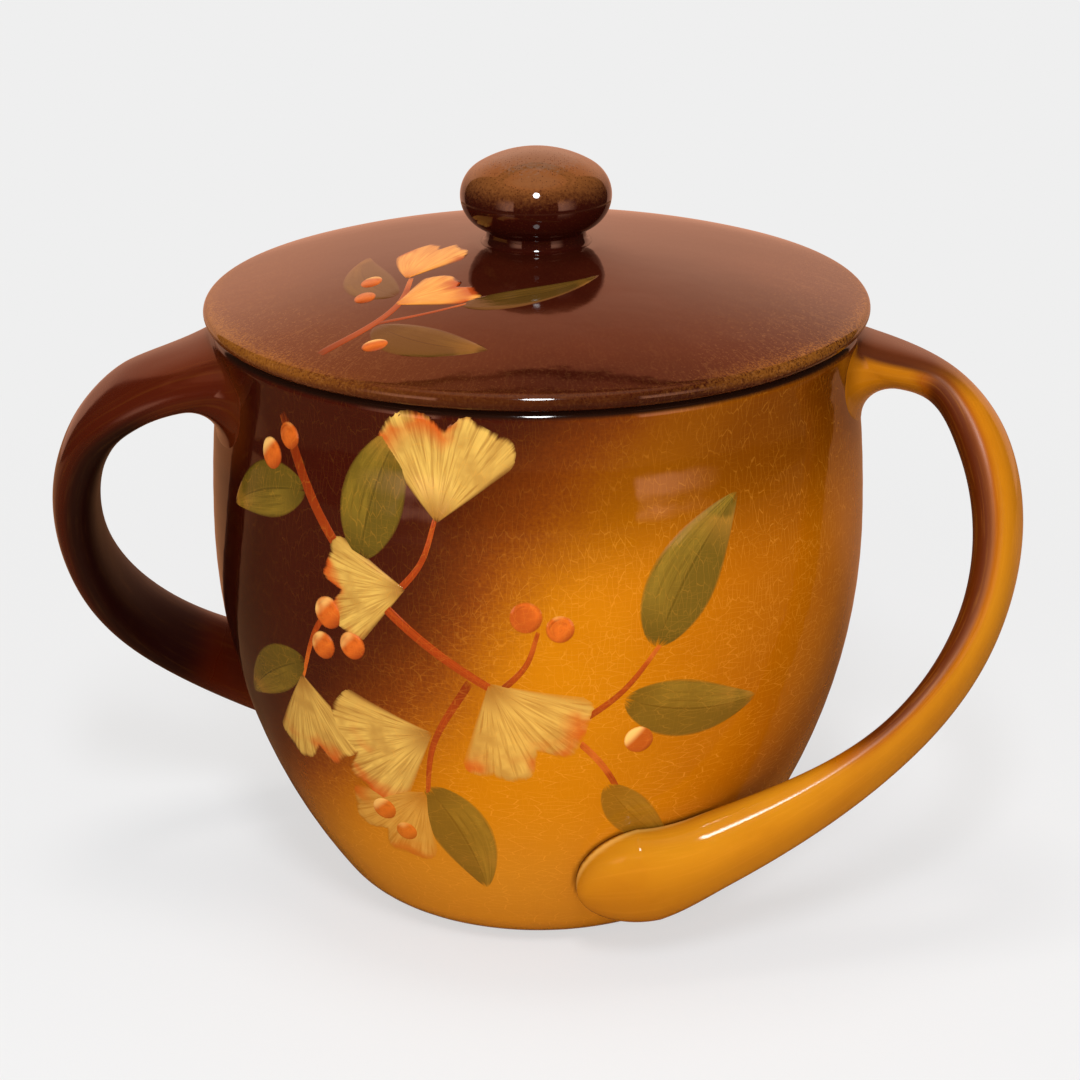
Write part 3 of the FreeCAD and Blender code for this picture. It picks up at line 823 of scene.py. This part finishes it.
def knob_section():
    """The knob's section from under its foot to the crown."""
    foot = NECK_RADIUS + NECK_FLARE
    ball_start = LID_TOP + NECK_FLARE_HEIGHT + NECK_STRAIGHT
    cheek_side = KNOB_RADIUS - KNOB_CHEEK
    apart = math.sqrt((KNOB_CROWN - KNOB_CHEEK) ** 2 - cheek_side ** 2)
    ball_middle = ball_start + math.sqrt(KNOB_CROWN ** 2 - NECK_RADIUS ** 2) - apart
    touch = math.degrees(math.atan2(apart, cheek_side))
    start = math.degrees(math.asin(NECK_RADIUS / KNOB_CROWN)) - 90
    section = [(0, LID_TOP)]
    section += straight(section[-1], (foot, LID_TOP), 4)
    for turn in even_steps(0, math.pi / 2, 8):
        section.append((foot - NECK_FLARE * math.sin(turn),
                        LID_TOP + NECK_FLARE_HEIGHT * (1 - math.cos(turn))))
    section += straight(section[-1], (NECK_RADIUS, ball_start), 3)
    section += arc(0, ball_middle + apart, KNOB_CROWN, start, -touch, 14)[1:]
    section += arc(cheek_side, ball_middle, KNOB_CHEEK, -touch, touch, 40)[1:]
    section += arc(0, ball_middle - apart, KNOB_CROWN, touch, 90, 18)[1:]
    return ((0, section),)


class Curve:
    """Values at given steps and the smooth curve through them, points or plain numbers."""

    def __init__(self, steps, values, slopes):
        self.steps = steps
        self.values = values
        self.slopes = slopes

    def at(self, step):
        if step <= self.steps[0]:
            return self.values[0] + self.slopes[0] * (step - self.steps[0])
        span = 0
        while span < len(self.steps) - 2 and step > self.steps[span + 1]:
            span += 1
        run = self.steps[span + 1] - self.steps[span]
        return cubic(min((step - self.steps[span]) / run, 1.0), run,
                     self.values[span], self.slopes[span],
                     self.values[span + 1], self.slopes[span + 1])


def even_curve(steps, points):
    """The curve whose bend never jumps, leaving both ends in line with their neighbours."""
    count = len(points)
    runs = np.diff(steps)
    table = np.zeros((count, count))
    wanted = np.zeros((count, 3))
    rates = np.diff(np.array([tuple(point) for point in points]), axis=0) / runs[:, None]
    table[0, 0] = table[-1, -1] = 1.0
    wanted[0], wanted[-1] = rates[0], rates[-1]
    for row in range(1, count - 1):
        before, after = runs[row - 1:row + 1]
        table[row, row - 1:row + 2] = 1 / before, 2 / before + 2 / after, 1 / after
        wanted[row] = 3 * (rates[row - 1] / before + rates[row] / after)
    slopes = np.linalg.solve(table, wanted)
    return Curve(steps, list(points), [Vector(slope) for slope in slopes])


def steady_curve(steps, values):
    """The curve that never passes its neighbours' values."""
    rates = [float(rate) for rate in np.diff(values) / np.diff(steps)]
    slopes = [rates[0]]
    for before, after in zip(rates, rates[1:]):
        slopes.append(2 * before * after / (before + after) if before * after > 0 else 0.0)
    return Curve(steps, values, slopes + [rates[-1]])


class Strap:
    """A handle's surface: a flat oval swept along its line, from the root to the tongue."""

    def __init__(self):
        rows = [(RIM_HEIGHT - drop * MM, *rest) for drop, *rest in UPPER_STATIONS]
        rows += [(height * MM, *rest) for height, *rest in LOWER_STATIONS]
        points = [self.place(*row[:3]) for row in rows]
        points.append(self.place(TONGUE_TIP[0] * MM, *TONGUE_TIP[1:]))
        steps = shares_along(points)
        self.line = even_curve(steps, points)
        self.tongue_step = steps[-2]
        self.width = steady_curve(steps[:-1], [row[3] * MM for row in rows])
        self.thickness = steady_curve(steps[:-1], [row[4] * MM for row in rows])
        self.roll = steady_curve(steps[:-1], [math.radians(row[5]) for row in rows])

    def place(self, height, stand_off, angle):
        return polar(wall_radius(height) + stand_off * MM, math.radians(angle), height)

    def frame(self, step):
        """The line's point there, with its directions along, outward and across."""
        small = 0.0005
        middle = self.line.at(step)
        along = (self.line.at(min(step + small, 1.0)) - self.line.at(step - small)).normalized()
        outward = middle - STRAP_FACING
        outward = (outward - along * outward.dot(along)).normalized()
        outward = Quaternion(along, self.roll.at(max(step, 0.0))) @ outward
        return middle, along, outward, along.cross(outward)

    def point(self, step, turn, closing=0.0):
        """A point on the skin; turn goes round the oval from its edge over its outer side."""
        middle, _, outward, across = self.frame(step)
        half_width = self.width.at(max(step, 0.0)) * math.cos(closing) / 2
        half_thickness = self.thickness.at(max(step, 0.0))
        half_thickness *= max(math.cos(closing), 0.0) ** TONGUE_FULLNESS / 2
        side, rise = (math.copysign(abs(share) ** (2 / STRAP_CORNER_POWER), share)
                      for share in (math.cos(turn), math.sin(turn)))
        return middle + across * (side * half_width) + outward * (rise * half_thickness)

    def side_of(self, step, turn):
        """The skin's own outward direction at a point, across the strap's line."""
        small = 0.02
        run = self.point(step, turn + small) - self.point(step, turn - small)
        return self.frame(step)[1].cross(run).normalized()


ROUND_STRAP = 88
ROOT_FILLET_STEPS = 14
ROOT_BLEND_STEPS = 26
STRAP_STEPS = 420
TONGUE_STEPS = 40
ROOT_END = 0.15
FARTHEST_INSIDE = -0.09
HALVINGS = 28
SUNK = 0.35 * MM
BELOW_RIM = 0.8 * MM
FILLET_AT_SIDES = 5.5 * MM
FILLET_LESS_ON_TOP = 4.6 * MM
FILLET_MORE_UNDERNEATH = 5 * MM


def crossing(strap, turn, distance):
    """The step at which a line along the skin, near the root, stands that far off the wall."""
    low, high = FARTHEST_INSIDE, ROOT_END
    for _ in range(HALVINGS):
        middle = (low + high) / 2
        if wall_distance(strap.point(middle, turn)) < distance:
            low = middle
        else:
            high = middle
    return (low + high) / 2


def fillet_radius(strap, turn):
    """The join's soft curve: wide under the strap, narrow on top where the rim is close."""
    side = strap.side_of(0.03, turn)
    return (FILLET_AT_SIDES - FILLET_LESS_ON_TOP * smooth_step(side.z, -0.25, 0.9)
            + FILLET_MORE_UNDERNEATH * smooth_step(-side.z, 0.2, 1.0))


def strap_column(strap, turn):
    """One line of the skin, from its fillet on the wall to the end of the tongue."""
    fillet = fillet_radius(strap, turn)
    column = []
    for row in range(ROOT_FILLET_STEPS + 1):
        rise = math.radians(90 * row / ROOT_FILLET_STEPS)
        distance = fillet * (1 - math.cos(rise))
        step = crossing(strap, turn, distance)
        point = strap.point(step, turn)
        normal = wall_normal(point)
        side = strap.side_of(step, turn)
        side = (side - normal * side.dot(normal)).normalized()
        point = point + side * (fillet * (1 - math.sin(rise)))
        point.z = min(point.z, RIM_HEIGHT - BELOW_RIM)
        column.append(set_to_wall(point, distance if row else distance - SUNK))
    for here in (even_steps(step, ROOT_END, ROOT_BLEND_STEPS)
                 + even_steps(ROOT_END, strap.tongue_step, STRAP_STEPS)):
        column.append(strap.point(here, turn))
    for closing in even_steps(0, math.pi / 2, TONGUE_STEPS)[:-1]:
        here = strap.tongue_step + (1 - strap.tongue_step) * math.sin(closing)
        column.append(strap.point(here, turn, closing))
    return column


def make_strap(name, replaced, root_angle, material):
    """One handle: its skin turned to its place, with the parts inside the wall drawn flat.

    Its material reads four things: the pool says where glaze has run together beside a join and
    where the crease gets painted shade, inner which side faces the pot, which it darkens partly as
    painted shade, edge where the pale line beside the tongue is, partly a painted highlight, and
    pulled the place round and along the strap.
    """
    strap = Strap()
    turns = [2 * math.pi * (count + 0.5) / ROUND_STRAP for count in range(ROUND_STRAP)]
    columns = [strap_column(strap, turn) for turn in turns]
    rows = len(columns[0])
    placed = Quaternion((0, 0, 1), math.radians(root_angle))
    points, pool, inner, pulled, edge = [], [], [], [], []
    first_skin_row = ROOT_FILLET_STEPS + ROOT_BLEND_STEPS
    for row in range(rows):
        near_tongue = smooth_step(row, rows * 0.55, rows * 0.7)
        past_root = smooth_step(row, ROOT_FILLET_STEPS + 7, first_skin_row - 4)
        for turn, column in zip(turns, columns):
            point = column[row]
            distance = wall_distance(point)
            if row > first_skin_row and distance < -SUNK:
                point = set_to_wall(point, -SUNK)
            points.append(placed @ point)
            # Painted shade in the crease beside the root, and pooled glaze with painted shade in the
            # tongue's crease.
            root_shade_and_pool = 0.35 * (1 - smooth_step(distance, 0, 3 * MM)) * (1 - near_tongue)
            tongue_pool_and_shade = (1 - smooth_step(distance, 0.5 * MM, 1.1 * MM)) * near_tongue
            pool.append(root_shade_and_pool + 0.95 * tongue_pool_and_shade)
            # Which side faces the pot; the glaze is darker there, partly less slip and partly painted
            # shade.
            inner.append(smooth_step(-math.sin(turn), -0.75, 0.25) * past_root * (1 - near_tongue))
            # Pale line beside the tongue: partly glaze breaking pale over the edge, partly a painted
            # highlight.
            edge.append(0.6 * near_tongue * smooth_step(distance, 0.9 * MM, 1.3 * MM)
                        * (1 - smooth_step(distance, 1.7 * MM, 3.2 * MM)))
            pulled += [math.cos(turn), math.sin(turn), row / rows]
    points.append(placed @ set_to_wall(strap.line.at(1.0), -SUNK))
    points.append(placed @ (sum((column[0] for column in columns), Vector()) / ROUND_STRAP))
    for numbers in (pool, inner, edge):
        numbers += [0.0, 0.0]
    pulled += [0.0, 0.0, 1.0, 0.0, 0.0, 0.0]
    around = neighbours(ROUND_STRAP)
    last = (rows - 1) * ROUND_STRAP
    faces = []
    for low in range(0, last, ROUND_STRAP):
        high = low + ROUND_STRAP
        faces += [(low + here, high + here, high + after, low + after) for here, after in around]
    for here, after in around:
        faces += [(last + here, len(points) - 2, last + after), (here, after, len(points) - 1)]
    piece = new_piece(name, points, faces, (material,), "jar", replaced)
    keep_numbers(piece, glaze_pool=pool, inner_side=inner, thin_edge=edge, pulled=pulled)
    return piece


def pool_and_shade_beside(pot, straps):
    """Mark the pot's points close to a strap, where the glaze has run together and painted shade
    darkens the wall beside the join.
    """
    trees = [BVHTree.FromPolygons([vertex.co for vertex in strap.data.vertices],
                                  [tuple(face.vertices) for face in strap.data.polygons])
             for strap in straps]
    widest, narrowest = 8 * MM, 1.3 * MM
    pool = []
    for vertex in pot.data.vertices:
        nearest = widest
        if wall_distance(vertex.co) > -1 * MM:
            for tree in trees:
                found = tree.find_nearest(vertex.co, widest)
                if found[0] is not None:
                    nearest = min(nearest, found[3])
        # Painted shade on the wall up to 8 mm from a strap, narrowing to 1.3 mm by the tongue, where
        # glaze pools in the crease.
        near_tongue = 1 - smooth_step(vertex.co.z, 50 * MM, 70 * MM)
        reach = widest + (narrowest - widest) * near_tongue
        pool.append((0.6 + 0.1 * near_tongue) * (1 - smooth_step(nearest, 0, reach)))
    keep_numbers(pot, glaze_pool=pool)


SLIP_SUNK = 0.03 * MM


def on_wall(azimuth, height, right, up, lift):
    """A spot on the pot, a distance right and up from an azimuth and height, lifted off it."""
    level = height + up
    turn = azimuth + right / wall_radius(level)
    out = wall_out(level)
    return polar(wall_radius(level) + throwing(turn, level) + lift * out.x, turn,
                 level + lift * out.y)


def on_lid(azimuth, radius, right, up, lift):
    """A spot on the lid's dome; up is towards the knob."""
    reach = radius - up
    return polar(reach, azimuth + right / reach, lid_height(reach) + lift)


class Painting:
    """Brush strokes in one colour, gathered into a thin relief that lies on the ware.

    Strokes are drawn flat, in millimetres right and up from the painting's own spot.
    """

    def __init__(self, lay, azimuth, level, thickness):
        self.lay = lay
        self.azimuth = math.radians(azimuth)
        self.level = level * MM
        self.thickness = thickness * MM
        self.points = []
        self.faces = []
        self.strokes = []
        self.strengths = []

    def add(self, shape, strength, across, along):
        """Lay a stroke; shape gives right, up, thickness and stroke place at two shares."""
        first = len(self.points)
        for row in range(along + 1):
            for column in range(across + 1):
                right, up, thickness, place = shape(column / across, row / along)
                lift = thickness * self.thickness - SLIP_SUNK
                self.points.append(self.lay(self.azimuth, self.level, right * MM, up * MM, lift))
                self.strokes += [*place, 0.0]
                self.strengths.append(strength)
        for row in range(along):
            for column in range(across):
                low = first + row * (across + 1) + column
                high = low + across + 1
                self.faces.append((low, low + 1, high + 1, high))

    def finish(self, name, material, body, slot):
        piece = new_piece(name, self.points, self.faces, (material,), body)
        keep_numbers(piece, strength=self.strengths, stroke=self.strokes)


def thin_edges(across, along):
    """How thick a stroke of slip is: full inside, and nothing at its edges."""
    return (smooth_step(min(across, 1 - across), 0, 0.16)
            * smooth_step(min(along, 1 - along), 0, 0.08))


def leaf(right, up, heading, length, width, bend):
    """A slender leaf that starts at a place and bends along its length."""
    start = math.radians(heading - bend / 2)
    turn = math.radians(bend)

    def shape(across, along):
        chord = start + turn * along / 2
        side = start + turn * along + math.pi / 2
        half = width / 2 * math.sin(math.pi * along ** 0.78) ** 0.85
        reach = half * (1 - 2 * across)
        return (right + length * along * math.cos(chord) + reach * math.cos(side),
                up + length * along * math.sin(chord) + reach * math.sin(side),
                thin_edges(across, along), (across, along))

    return shape


def fan(right, up, heading, reach, spread):
    """A fan-shaped leaf with a notch in the middle of its wavy edge."""
    def shape(across, along):
        angle = math.radians(heading + (0.5 - across) * spread)
        off_middle = across - 0.5
        edge = 1 - 0.17 * math.exp(-(off_middle / 0.06) ** 2) - 0.2 * abs(2 * off_middle) ** 5
        edge += 0.03 * math.sin(21 * across + heading)
        distance = reach * edge * along
        return (right + distance * math.cos(angle), up + distance * math.sin(angle),
                thin_edges(across, along), (across, along))

    return shape


def berry(right, up, size):
    """A round berry, thickest in its middle."""
    def shape(across, along):
        angle = 2 * math.pi * across
        side, rise = along * math.cos(angle), along * math.sin(angle)
        lit = 0.5 + 0.3 * (rise - side)
        return (right + size / 2 * side, up + size / 2 * rise,
                math.sqrt(max(1 - along ** 2, 0.0)), (0.5 + 0.47 * along, lit))

    return shape


def stem(places, thick, thin):
    """A stem through its places, tapering from its thick end."""
    spots = [Vector((right, up, 0)) for right, up in places]
    line = even_curve(shares_along(spots), spots)

    def shape(across, along):
        ahead = line.at(min(along + 0.01, 1.0)) - line.at(along - 0.01)
        side = Vector((-ahead.y, ahead.x, 0)).normalized()
        spot = line.at(along) + side * ((0.5 - across) * (thick + (thin - thick) * along))
        return spot.x, spot.y, thin_edges(across, along), (across, along)

    return shape


# Each kind of stroke: its shape, its name for one and for many, how thick its slip stands in
# millimetres, and the steps across and along it
STEM = (stem, "stem", "stems", 0.09, 8, 60)
LEAF = (leaf, "leaf", "leaves", 0.15, 14, 28)
FAN = (fan, "fan", "fans", 0.23, 30, 24)
BERRY = (berry, "berry", "berries", 0.5, 24, 8)

# Each painted side: what its names start with, its body, slot and ground, and the way to lay
# slip on it with the azimuth and the height or radius of its middle
POT_FRONT = ("", "jar", "body_glaze", wall_ground, on_wall, -90, 80)
LID_LEFT = ("lid_", "lid", "lid_glaze", lid_ground, on_lid, -134, 50)


def paint_strokes(side, kind, strokes, colours, *brush, rows=()):
    """Paint the strokes of one kind on one side of the ware.

    Each stroke is what its shape takes, and then its strength. colours are the slip's light, deep
    and tip, brush is its marks, fold and tipped, and rows the steps along strokes that differ.
    """
    start, body, slot, ground, *spot = side
    shape, one, many, thickness, across, along = kind
    painting = Painting(*spot, thickness)
    for (*drawn, strength), steps in zip(strokes, rows or [along] * len(strokes)):
        painting.add(shape(*drawn), strength, across, steps)
    slip = make_slip_paint(f"{start}{one}_slip", ground, *(paint(*colour) for colour in colours),
                           *brush)
    painting.finish(f"painted_{start}{many}", slip, body, slot)


def paint_pot():
    """A spray of fan leaves, slender leaves and berries over the pot's front."""
    paint_strokes(POT_FRONT, STEM, (
        (((-70, 66), (-58, 44), (-38, 22), (-14, 5), (8, -10), (16, -20), (21, -31)), 3.8, 1.6, 0.92),
        (((-38, 22), (-28, 34), (-24, 46)), 2.2, 1.2, 0.92),
        (((-44, 28), (-58, 12), (-64, -4)), 2.4, 1.2, 0.92),
        (((-16, 6), (-26, -14), (-28, -32)), 2.4, 1.2, 0.92),
        (((6, -8), (20, 2), (30, 14)), 2.2, 1.2, 0.92),
        (((-10, 2), (-3, 10), (0, 19)), 2.0, 1.1, 0.92)),
        ((172, 66, 18), (112, 34, 8), (206, 104, 34)), 5.0)
    paint_strokes(POT_FRONT, LEAF, (
        (-60, 46, 200, 34, 15, 30, 0.85),
        (-44, 32, 70, 38, 18, -26, 0.9),
        (-62, 2, 214, 34, 14, 26, 0.8),
        (28, 12, 58, 42, 20, -28, 0.93),
        (20, 0, -10, 38, 17, 30, 0.85),
        (16, -24, -52, 28, 12, 22, 0.62),
        (-28, -26, -66, 36, 17, -30, 0.8)),
        ((138, 112, 36), (74, 62, 16), (168, 120, 44)), 14.0, 0.7)
    paint_strokes(POT_FRONT, FAN, (
        (-24, 44, 84, 28, 100, 0.97),
        (-26, -10, 206, 29, 98, 0.97),
        (-64, -2, 282, 26, 92, 0.92),
        (-12, 5, 302, 28, 104, 0.82),
        (-32, 27, 190, 23, 90, 0.95),
        (-28, -28, 232, 24, 96, 0.5)),
        ((222, 182, 90), (138, 84, 26), (196, 84, 24)), 30.0, 0.0, (0.66, 0.98))
    paint_strokes(POT_FRONT, BERRY, (
        (-54, 17, 8.5, 0.95), (-47, 10, 7.5, 0.95), (-56, 8, 7.5, 0.9), (-3, 22, 8, 0.95),
        (5, 19, 7, 0.9), (24, -12, 7.5, 0.85), (-73, 52, 8, 0.95), (-66, 58, 7, 0.9),
        (-40, -36, 7.5, 0.7), (-34, -42, 6.5, 0.65)),
        ((216, 104, 32), (128, 40, 12), (246, 196, 112)), 3.0, 0.0, (0.56, 0.8))


def paint_lid():
    """A small sprig on the lid's left front."""
    paint_strokes(LID_LEFT, STEM, (
        (((2, -27), (4, -12), (0, 4), (-8, 14)), 3.2, 1.4, 0.88),
        (((4, -10), (12, 0), (17, 8)), 1.8, 1.0, 0.85)),
        ((170, 68, 22), (110, 38, 14), (196, 96, 36)), 5.0, rows=(40, 24))
    paint_strokes(LID_LEFT, LEAF, (
        (-2, 4, 172, 32, 14, -24, 0.66), (5, -10, -8, 34, 14, 22, 0.66),
        (15, 6, 34, 28, 13, 20, 0.66)),
        ((112, 82, 30), (62, 48, 16), (140, 96, 34)), 14.0, 0.6)
    paint_strokes(LID_LEFT, FAN, ((-8, 12, 122, 20, 100, 0.95), (1, 0, 66, 19, 92, 0.92)),
                  ((242, 170, 78), (196, 106, 38), (178, 68, 26)), 26.0, 0.0, (0.6, 0.98))
    paint_strokes(LID_LEFT, BERRY, (
        (-15, 5, 6.5, 0.9), (-9, -1, 6, 0.9), (12, -18, 6, 0.9)),
        ((212, 104, 34), (128, 42, 14), (240, 180, 96)), 3.0, 0.0, (0.56, 0.8))


CAMERA_ELEVATION = math.radians(20.31)
CAMERA_LEAN = math.radians(-0.4)
CAMERA_DISTANCE = 0.9
LOOKED_AT = Vector((0.4 * MM, 0, 90.9 * MM))


def make_camera():
    """The photograph's view: a little above the jar and straight at its front."""
    forward = Vector((0, math.cos(CAMERA_ELEVATION), -math.sin(CAMERA_ELEVATION)))
    data = bpy.data.cameras.new("camera")
    data.sensor_width = 36
    data.lens = 117.2
    data.clip_start = 0.01
    data.clip_end = 20
    camera = add_object("camera", data)
    camera.rotation_mode = "QUATERNION"
    camera.rotation_quaternion = (forward.to_track_quat("-Z", "Y")
                                  @ Quaternion((0, 0, 1), CAMERA_LEAN))
    camera.location = LOOKED_AT - forward * CAMERA_DISTANCE
    bpy.context.scene.camera = camera


BACKGROUND = paint(239, 239, 239)
STUDIO_TINT = (1.0, 0.46, 0.29, 1)
STUDIO_TINT_ABOVE = (1.0, 0.28, 0.12, 1)
JAR_MIDDLE = Vector((0, 0, 0.1))


def panel(name, place, width, height, power, colour, mirrored=False):
    """A soft light: a glowing panel that faces the jar, seen in the glaze only if mirrored."""
    data = bpy.data.lights.new(name, "AREA")
    data.shape = "ELLIPSE" if mirrored else "RECTANGLE"
    data.size = width
    data.size_y = height
    data.energy = power
    data.color = colour
    light = add_object(name, data)
    light.visible_glossy = mirrored
    light.location = place
    light.rotation_mode = "QUATERNION"
    light.rotation_quaternion = (JAR_MIDDLE - Vector(place)).to_track_quat("-Z", "Y")


def make_lights():
    panel("key", (0, -0.95, 1.1), 0.2, 0.42, 9, (0.96, 0.98, 1.0), mirrored=True)
    panel("overhead", (-0.1, -0.08, 1.35), 0.42, 0.36, 5, (1.0, 0.95, 0.88))
    panel("front_fill", (-0.25, -1.9, 0.5), 1.3, 0.9, 21, (1.0, 0.93, 0.84))
    panel("right_fill", (1.15, -0.5, 0.5), 0.5, 0.5, 1.5, (1.0, 0.95, 0.88))


def straight_rays(board):
    """Two shares of a ray: seen in the glaze, and come straight from the view or through glass."""
    rays = board.add("ShaderNodeLightPath").outputs
    straight_on = board.maths("ADD", rays["Is Camera Ray"], rays["Is Transmission Ray"], clamp=True)
    return rays["Is Glossy Ray"], straight_on


def make_world():
    """Plain pale surroundings; the glaze sees a warm studio, bright behind and dim in front.

    The angles are what the glaze shows: from_back goes round from behind the jar, and rise up.
    """
    world = bpy.data.worlds.new("studio")
    bpy.context.scene.world = world
    board = Board(empty_tree(world))
    heading = board.where("Generated")
    sides = board.parts(heading)
    rise = board.strayed(board.maths("ARCSINE", sides[2]), board.noise(heading, 7.0, 2.0), 0.06)
    from_back = board.maths("ABSOLUTE", board.maths("ARCTAN2", sides[0], sides[1]))
    from_front = board.maths("SUBTRACT", math.pi, from_back)
    backdrop = board.times(board.between(rise, -0.05, 0.35, 0.8, 1.35),
                           board.between(rise, 0.45, 0.84, 1.0, 0.85),
                           board.between(rise, 0.865, 0.885, 1.0, 0.0),
                           board.between(from_back, 0.74, 0.78, 1.0, 0.0))
    rail = board.times(board.between(rise, 0.90, 0.92, 0.0, 0.6),
                       board.between(rise, 0.96, 0.98, 1.0, 0.0))
    screens = board.times(board.between(from_front, 0.57, 0.61, 0.0, 2.8),
                          board.between(from_front, 0.70, 1.2, 1.0, 0.0),
                          board.between(rise, -0.23, -0.14),
                          board.between(rise, 0.1, 0.5, 1.0, 0.0))
    ceiling = board.between(rise, 1.03, 1.07, 0.05, 1.0)
    level = board.highest(backdrop, rail, screens, ceiling)
    mirrored, straight_on = straight_rays(board)
    warm = board.mix(board.between(rise, 0.35, 0.85), STUDIO_TINT, STUDIO_TINT_ABOVE)
    warm = board.mix(board.between(rise, 1.1, 1.3), warm, STUDIO_TINT)
    seen = board.mix(straight_on, (0.5, 0.48, 0.46, 1), BACKGROUND)
    seen = board.mix(mirrored, seen, warm)
    strength = board.line(mirrored, board.maths("SUBTRACT", level, 1.0), 1.0)
    board.feed("ShaderNodeOutputWorld", board.feed("ShaderNodeBackground", seen, strength))


STAGE_RADIUS = 0.62
STAGE_CORNERS = 96


def make_floor():
    """A plain pale floor that keeps a soft shadow and fades into the background."""
    material = bpy.data.materials.new("floor")
    board = Board(empty_tree(material))
    place = board.where()
    spread = board.add("ShaderNodeVectorMath", operation="LENGTH")
    board.plug(place, spread.inputs[0])
    mirrored, straight_on = straight_rays(board)
    near_look = board.feed("ShaderNodeAddShader",
                           board.feed("ShaderNodeBsdfDiffuse", (0.26, 0.265, 0.275, 1)),
                           board.feed("ShaderNodeEmission", (1, 1, 1, 1), 0.58))
    seen_look = board.feed("ShaderNodeMixShader", board.between(spread.outputs["Value"], 0.12, 0.45),
                           near_look, board.feed("ShaderNodeEmission", BACKGROUND))
    behind = board.between(board.parts(place)[1], 0.08, 0.2)
    in_glaze = board.mix(behind, (0.16, 0.08, 0.04, 1), (0.42, 0.18, 0.085, 1))
    table = board.feed("ShaderNodeBsdfDiffuse", board.mix(mirrored, (0.6, 0.5, 0.4, 1), in_glaze))
    board.feed("ShaderNodeOutputMaterial",
               board.feed("ShaderNodeMixShader", straight_on, table, seen_look))
    mesh = bpy.data.meshes.new("floor")
    rim = [polar(STAGE_RADIUS, 2 * math.pi * count / STAGE_CORNERS, 0)
           for count in range(STAGE_CORNERS)]
    mesh.from_pydata(rim, [], [tuple(range(STAGE_CORNERS))])
    mesh.materials.append(material)
    add_object("floor", mesh)


def build_jar():
    clay = make_bare_clay()
    inside_glaze = make_inside_glaze()
    pot = make_body(clay, make_wall_glaze(), inside_glaze)
    right = make_strap("strap_right", "handle_right", RIGHT_ROOT_ANGLE,
                       make_strap_glaze("right_strap_glaze", True))
    left = make_strap("strap_left", "handle_left", LEFT_ROOT_ANGLE,
                      make_strap_glaze("left_strap_glaze", False))
    pool_and_shade_beside(pot, (right, left))
    turned_piece("lid_cover", lid_section(), LID_TURN_STEPS, (clay, inside_glaze, make_lid_glaze()),
                 "lid", "lid")
    turned_piece("knob", knob_section(), KNOB_TURN_STEPS, (make_knob_glaze(),),
                 "lid", "lid_knob")
    paint_pot()
    paint_lid()


bpy.context.scene.view_settings.view_transform = "Standard"
make_camera()
make_world()
make_lights()
make_floor()
build_jar()
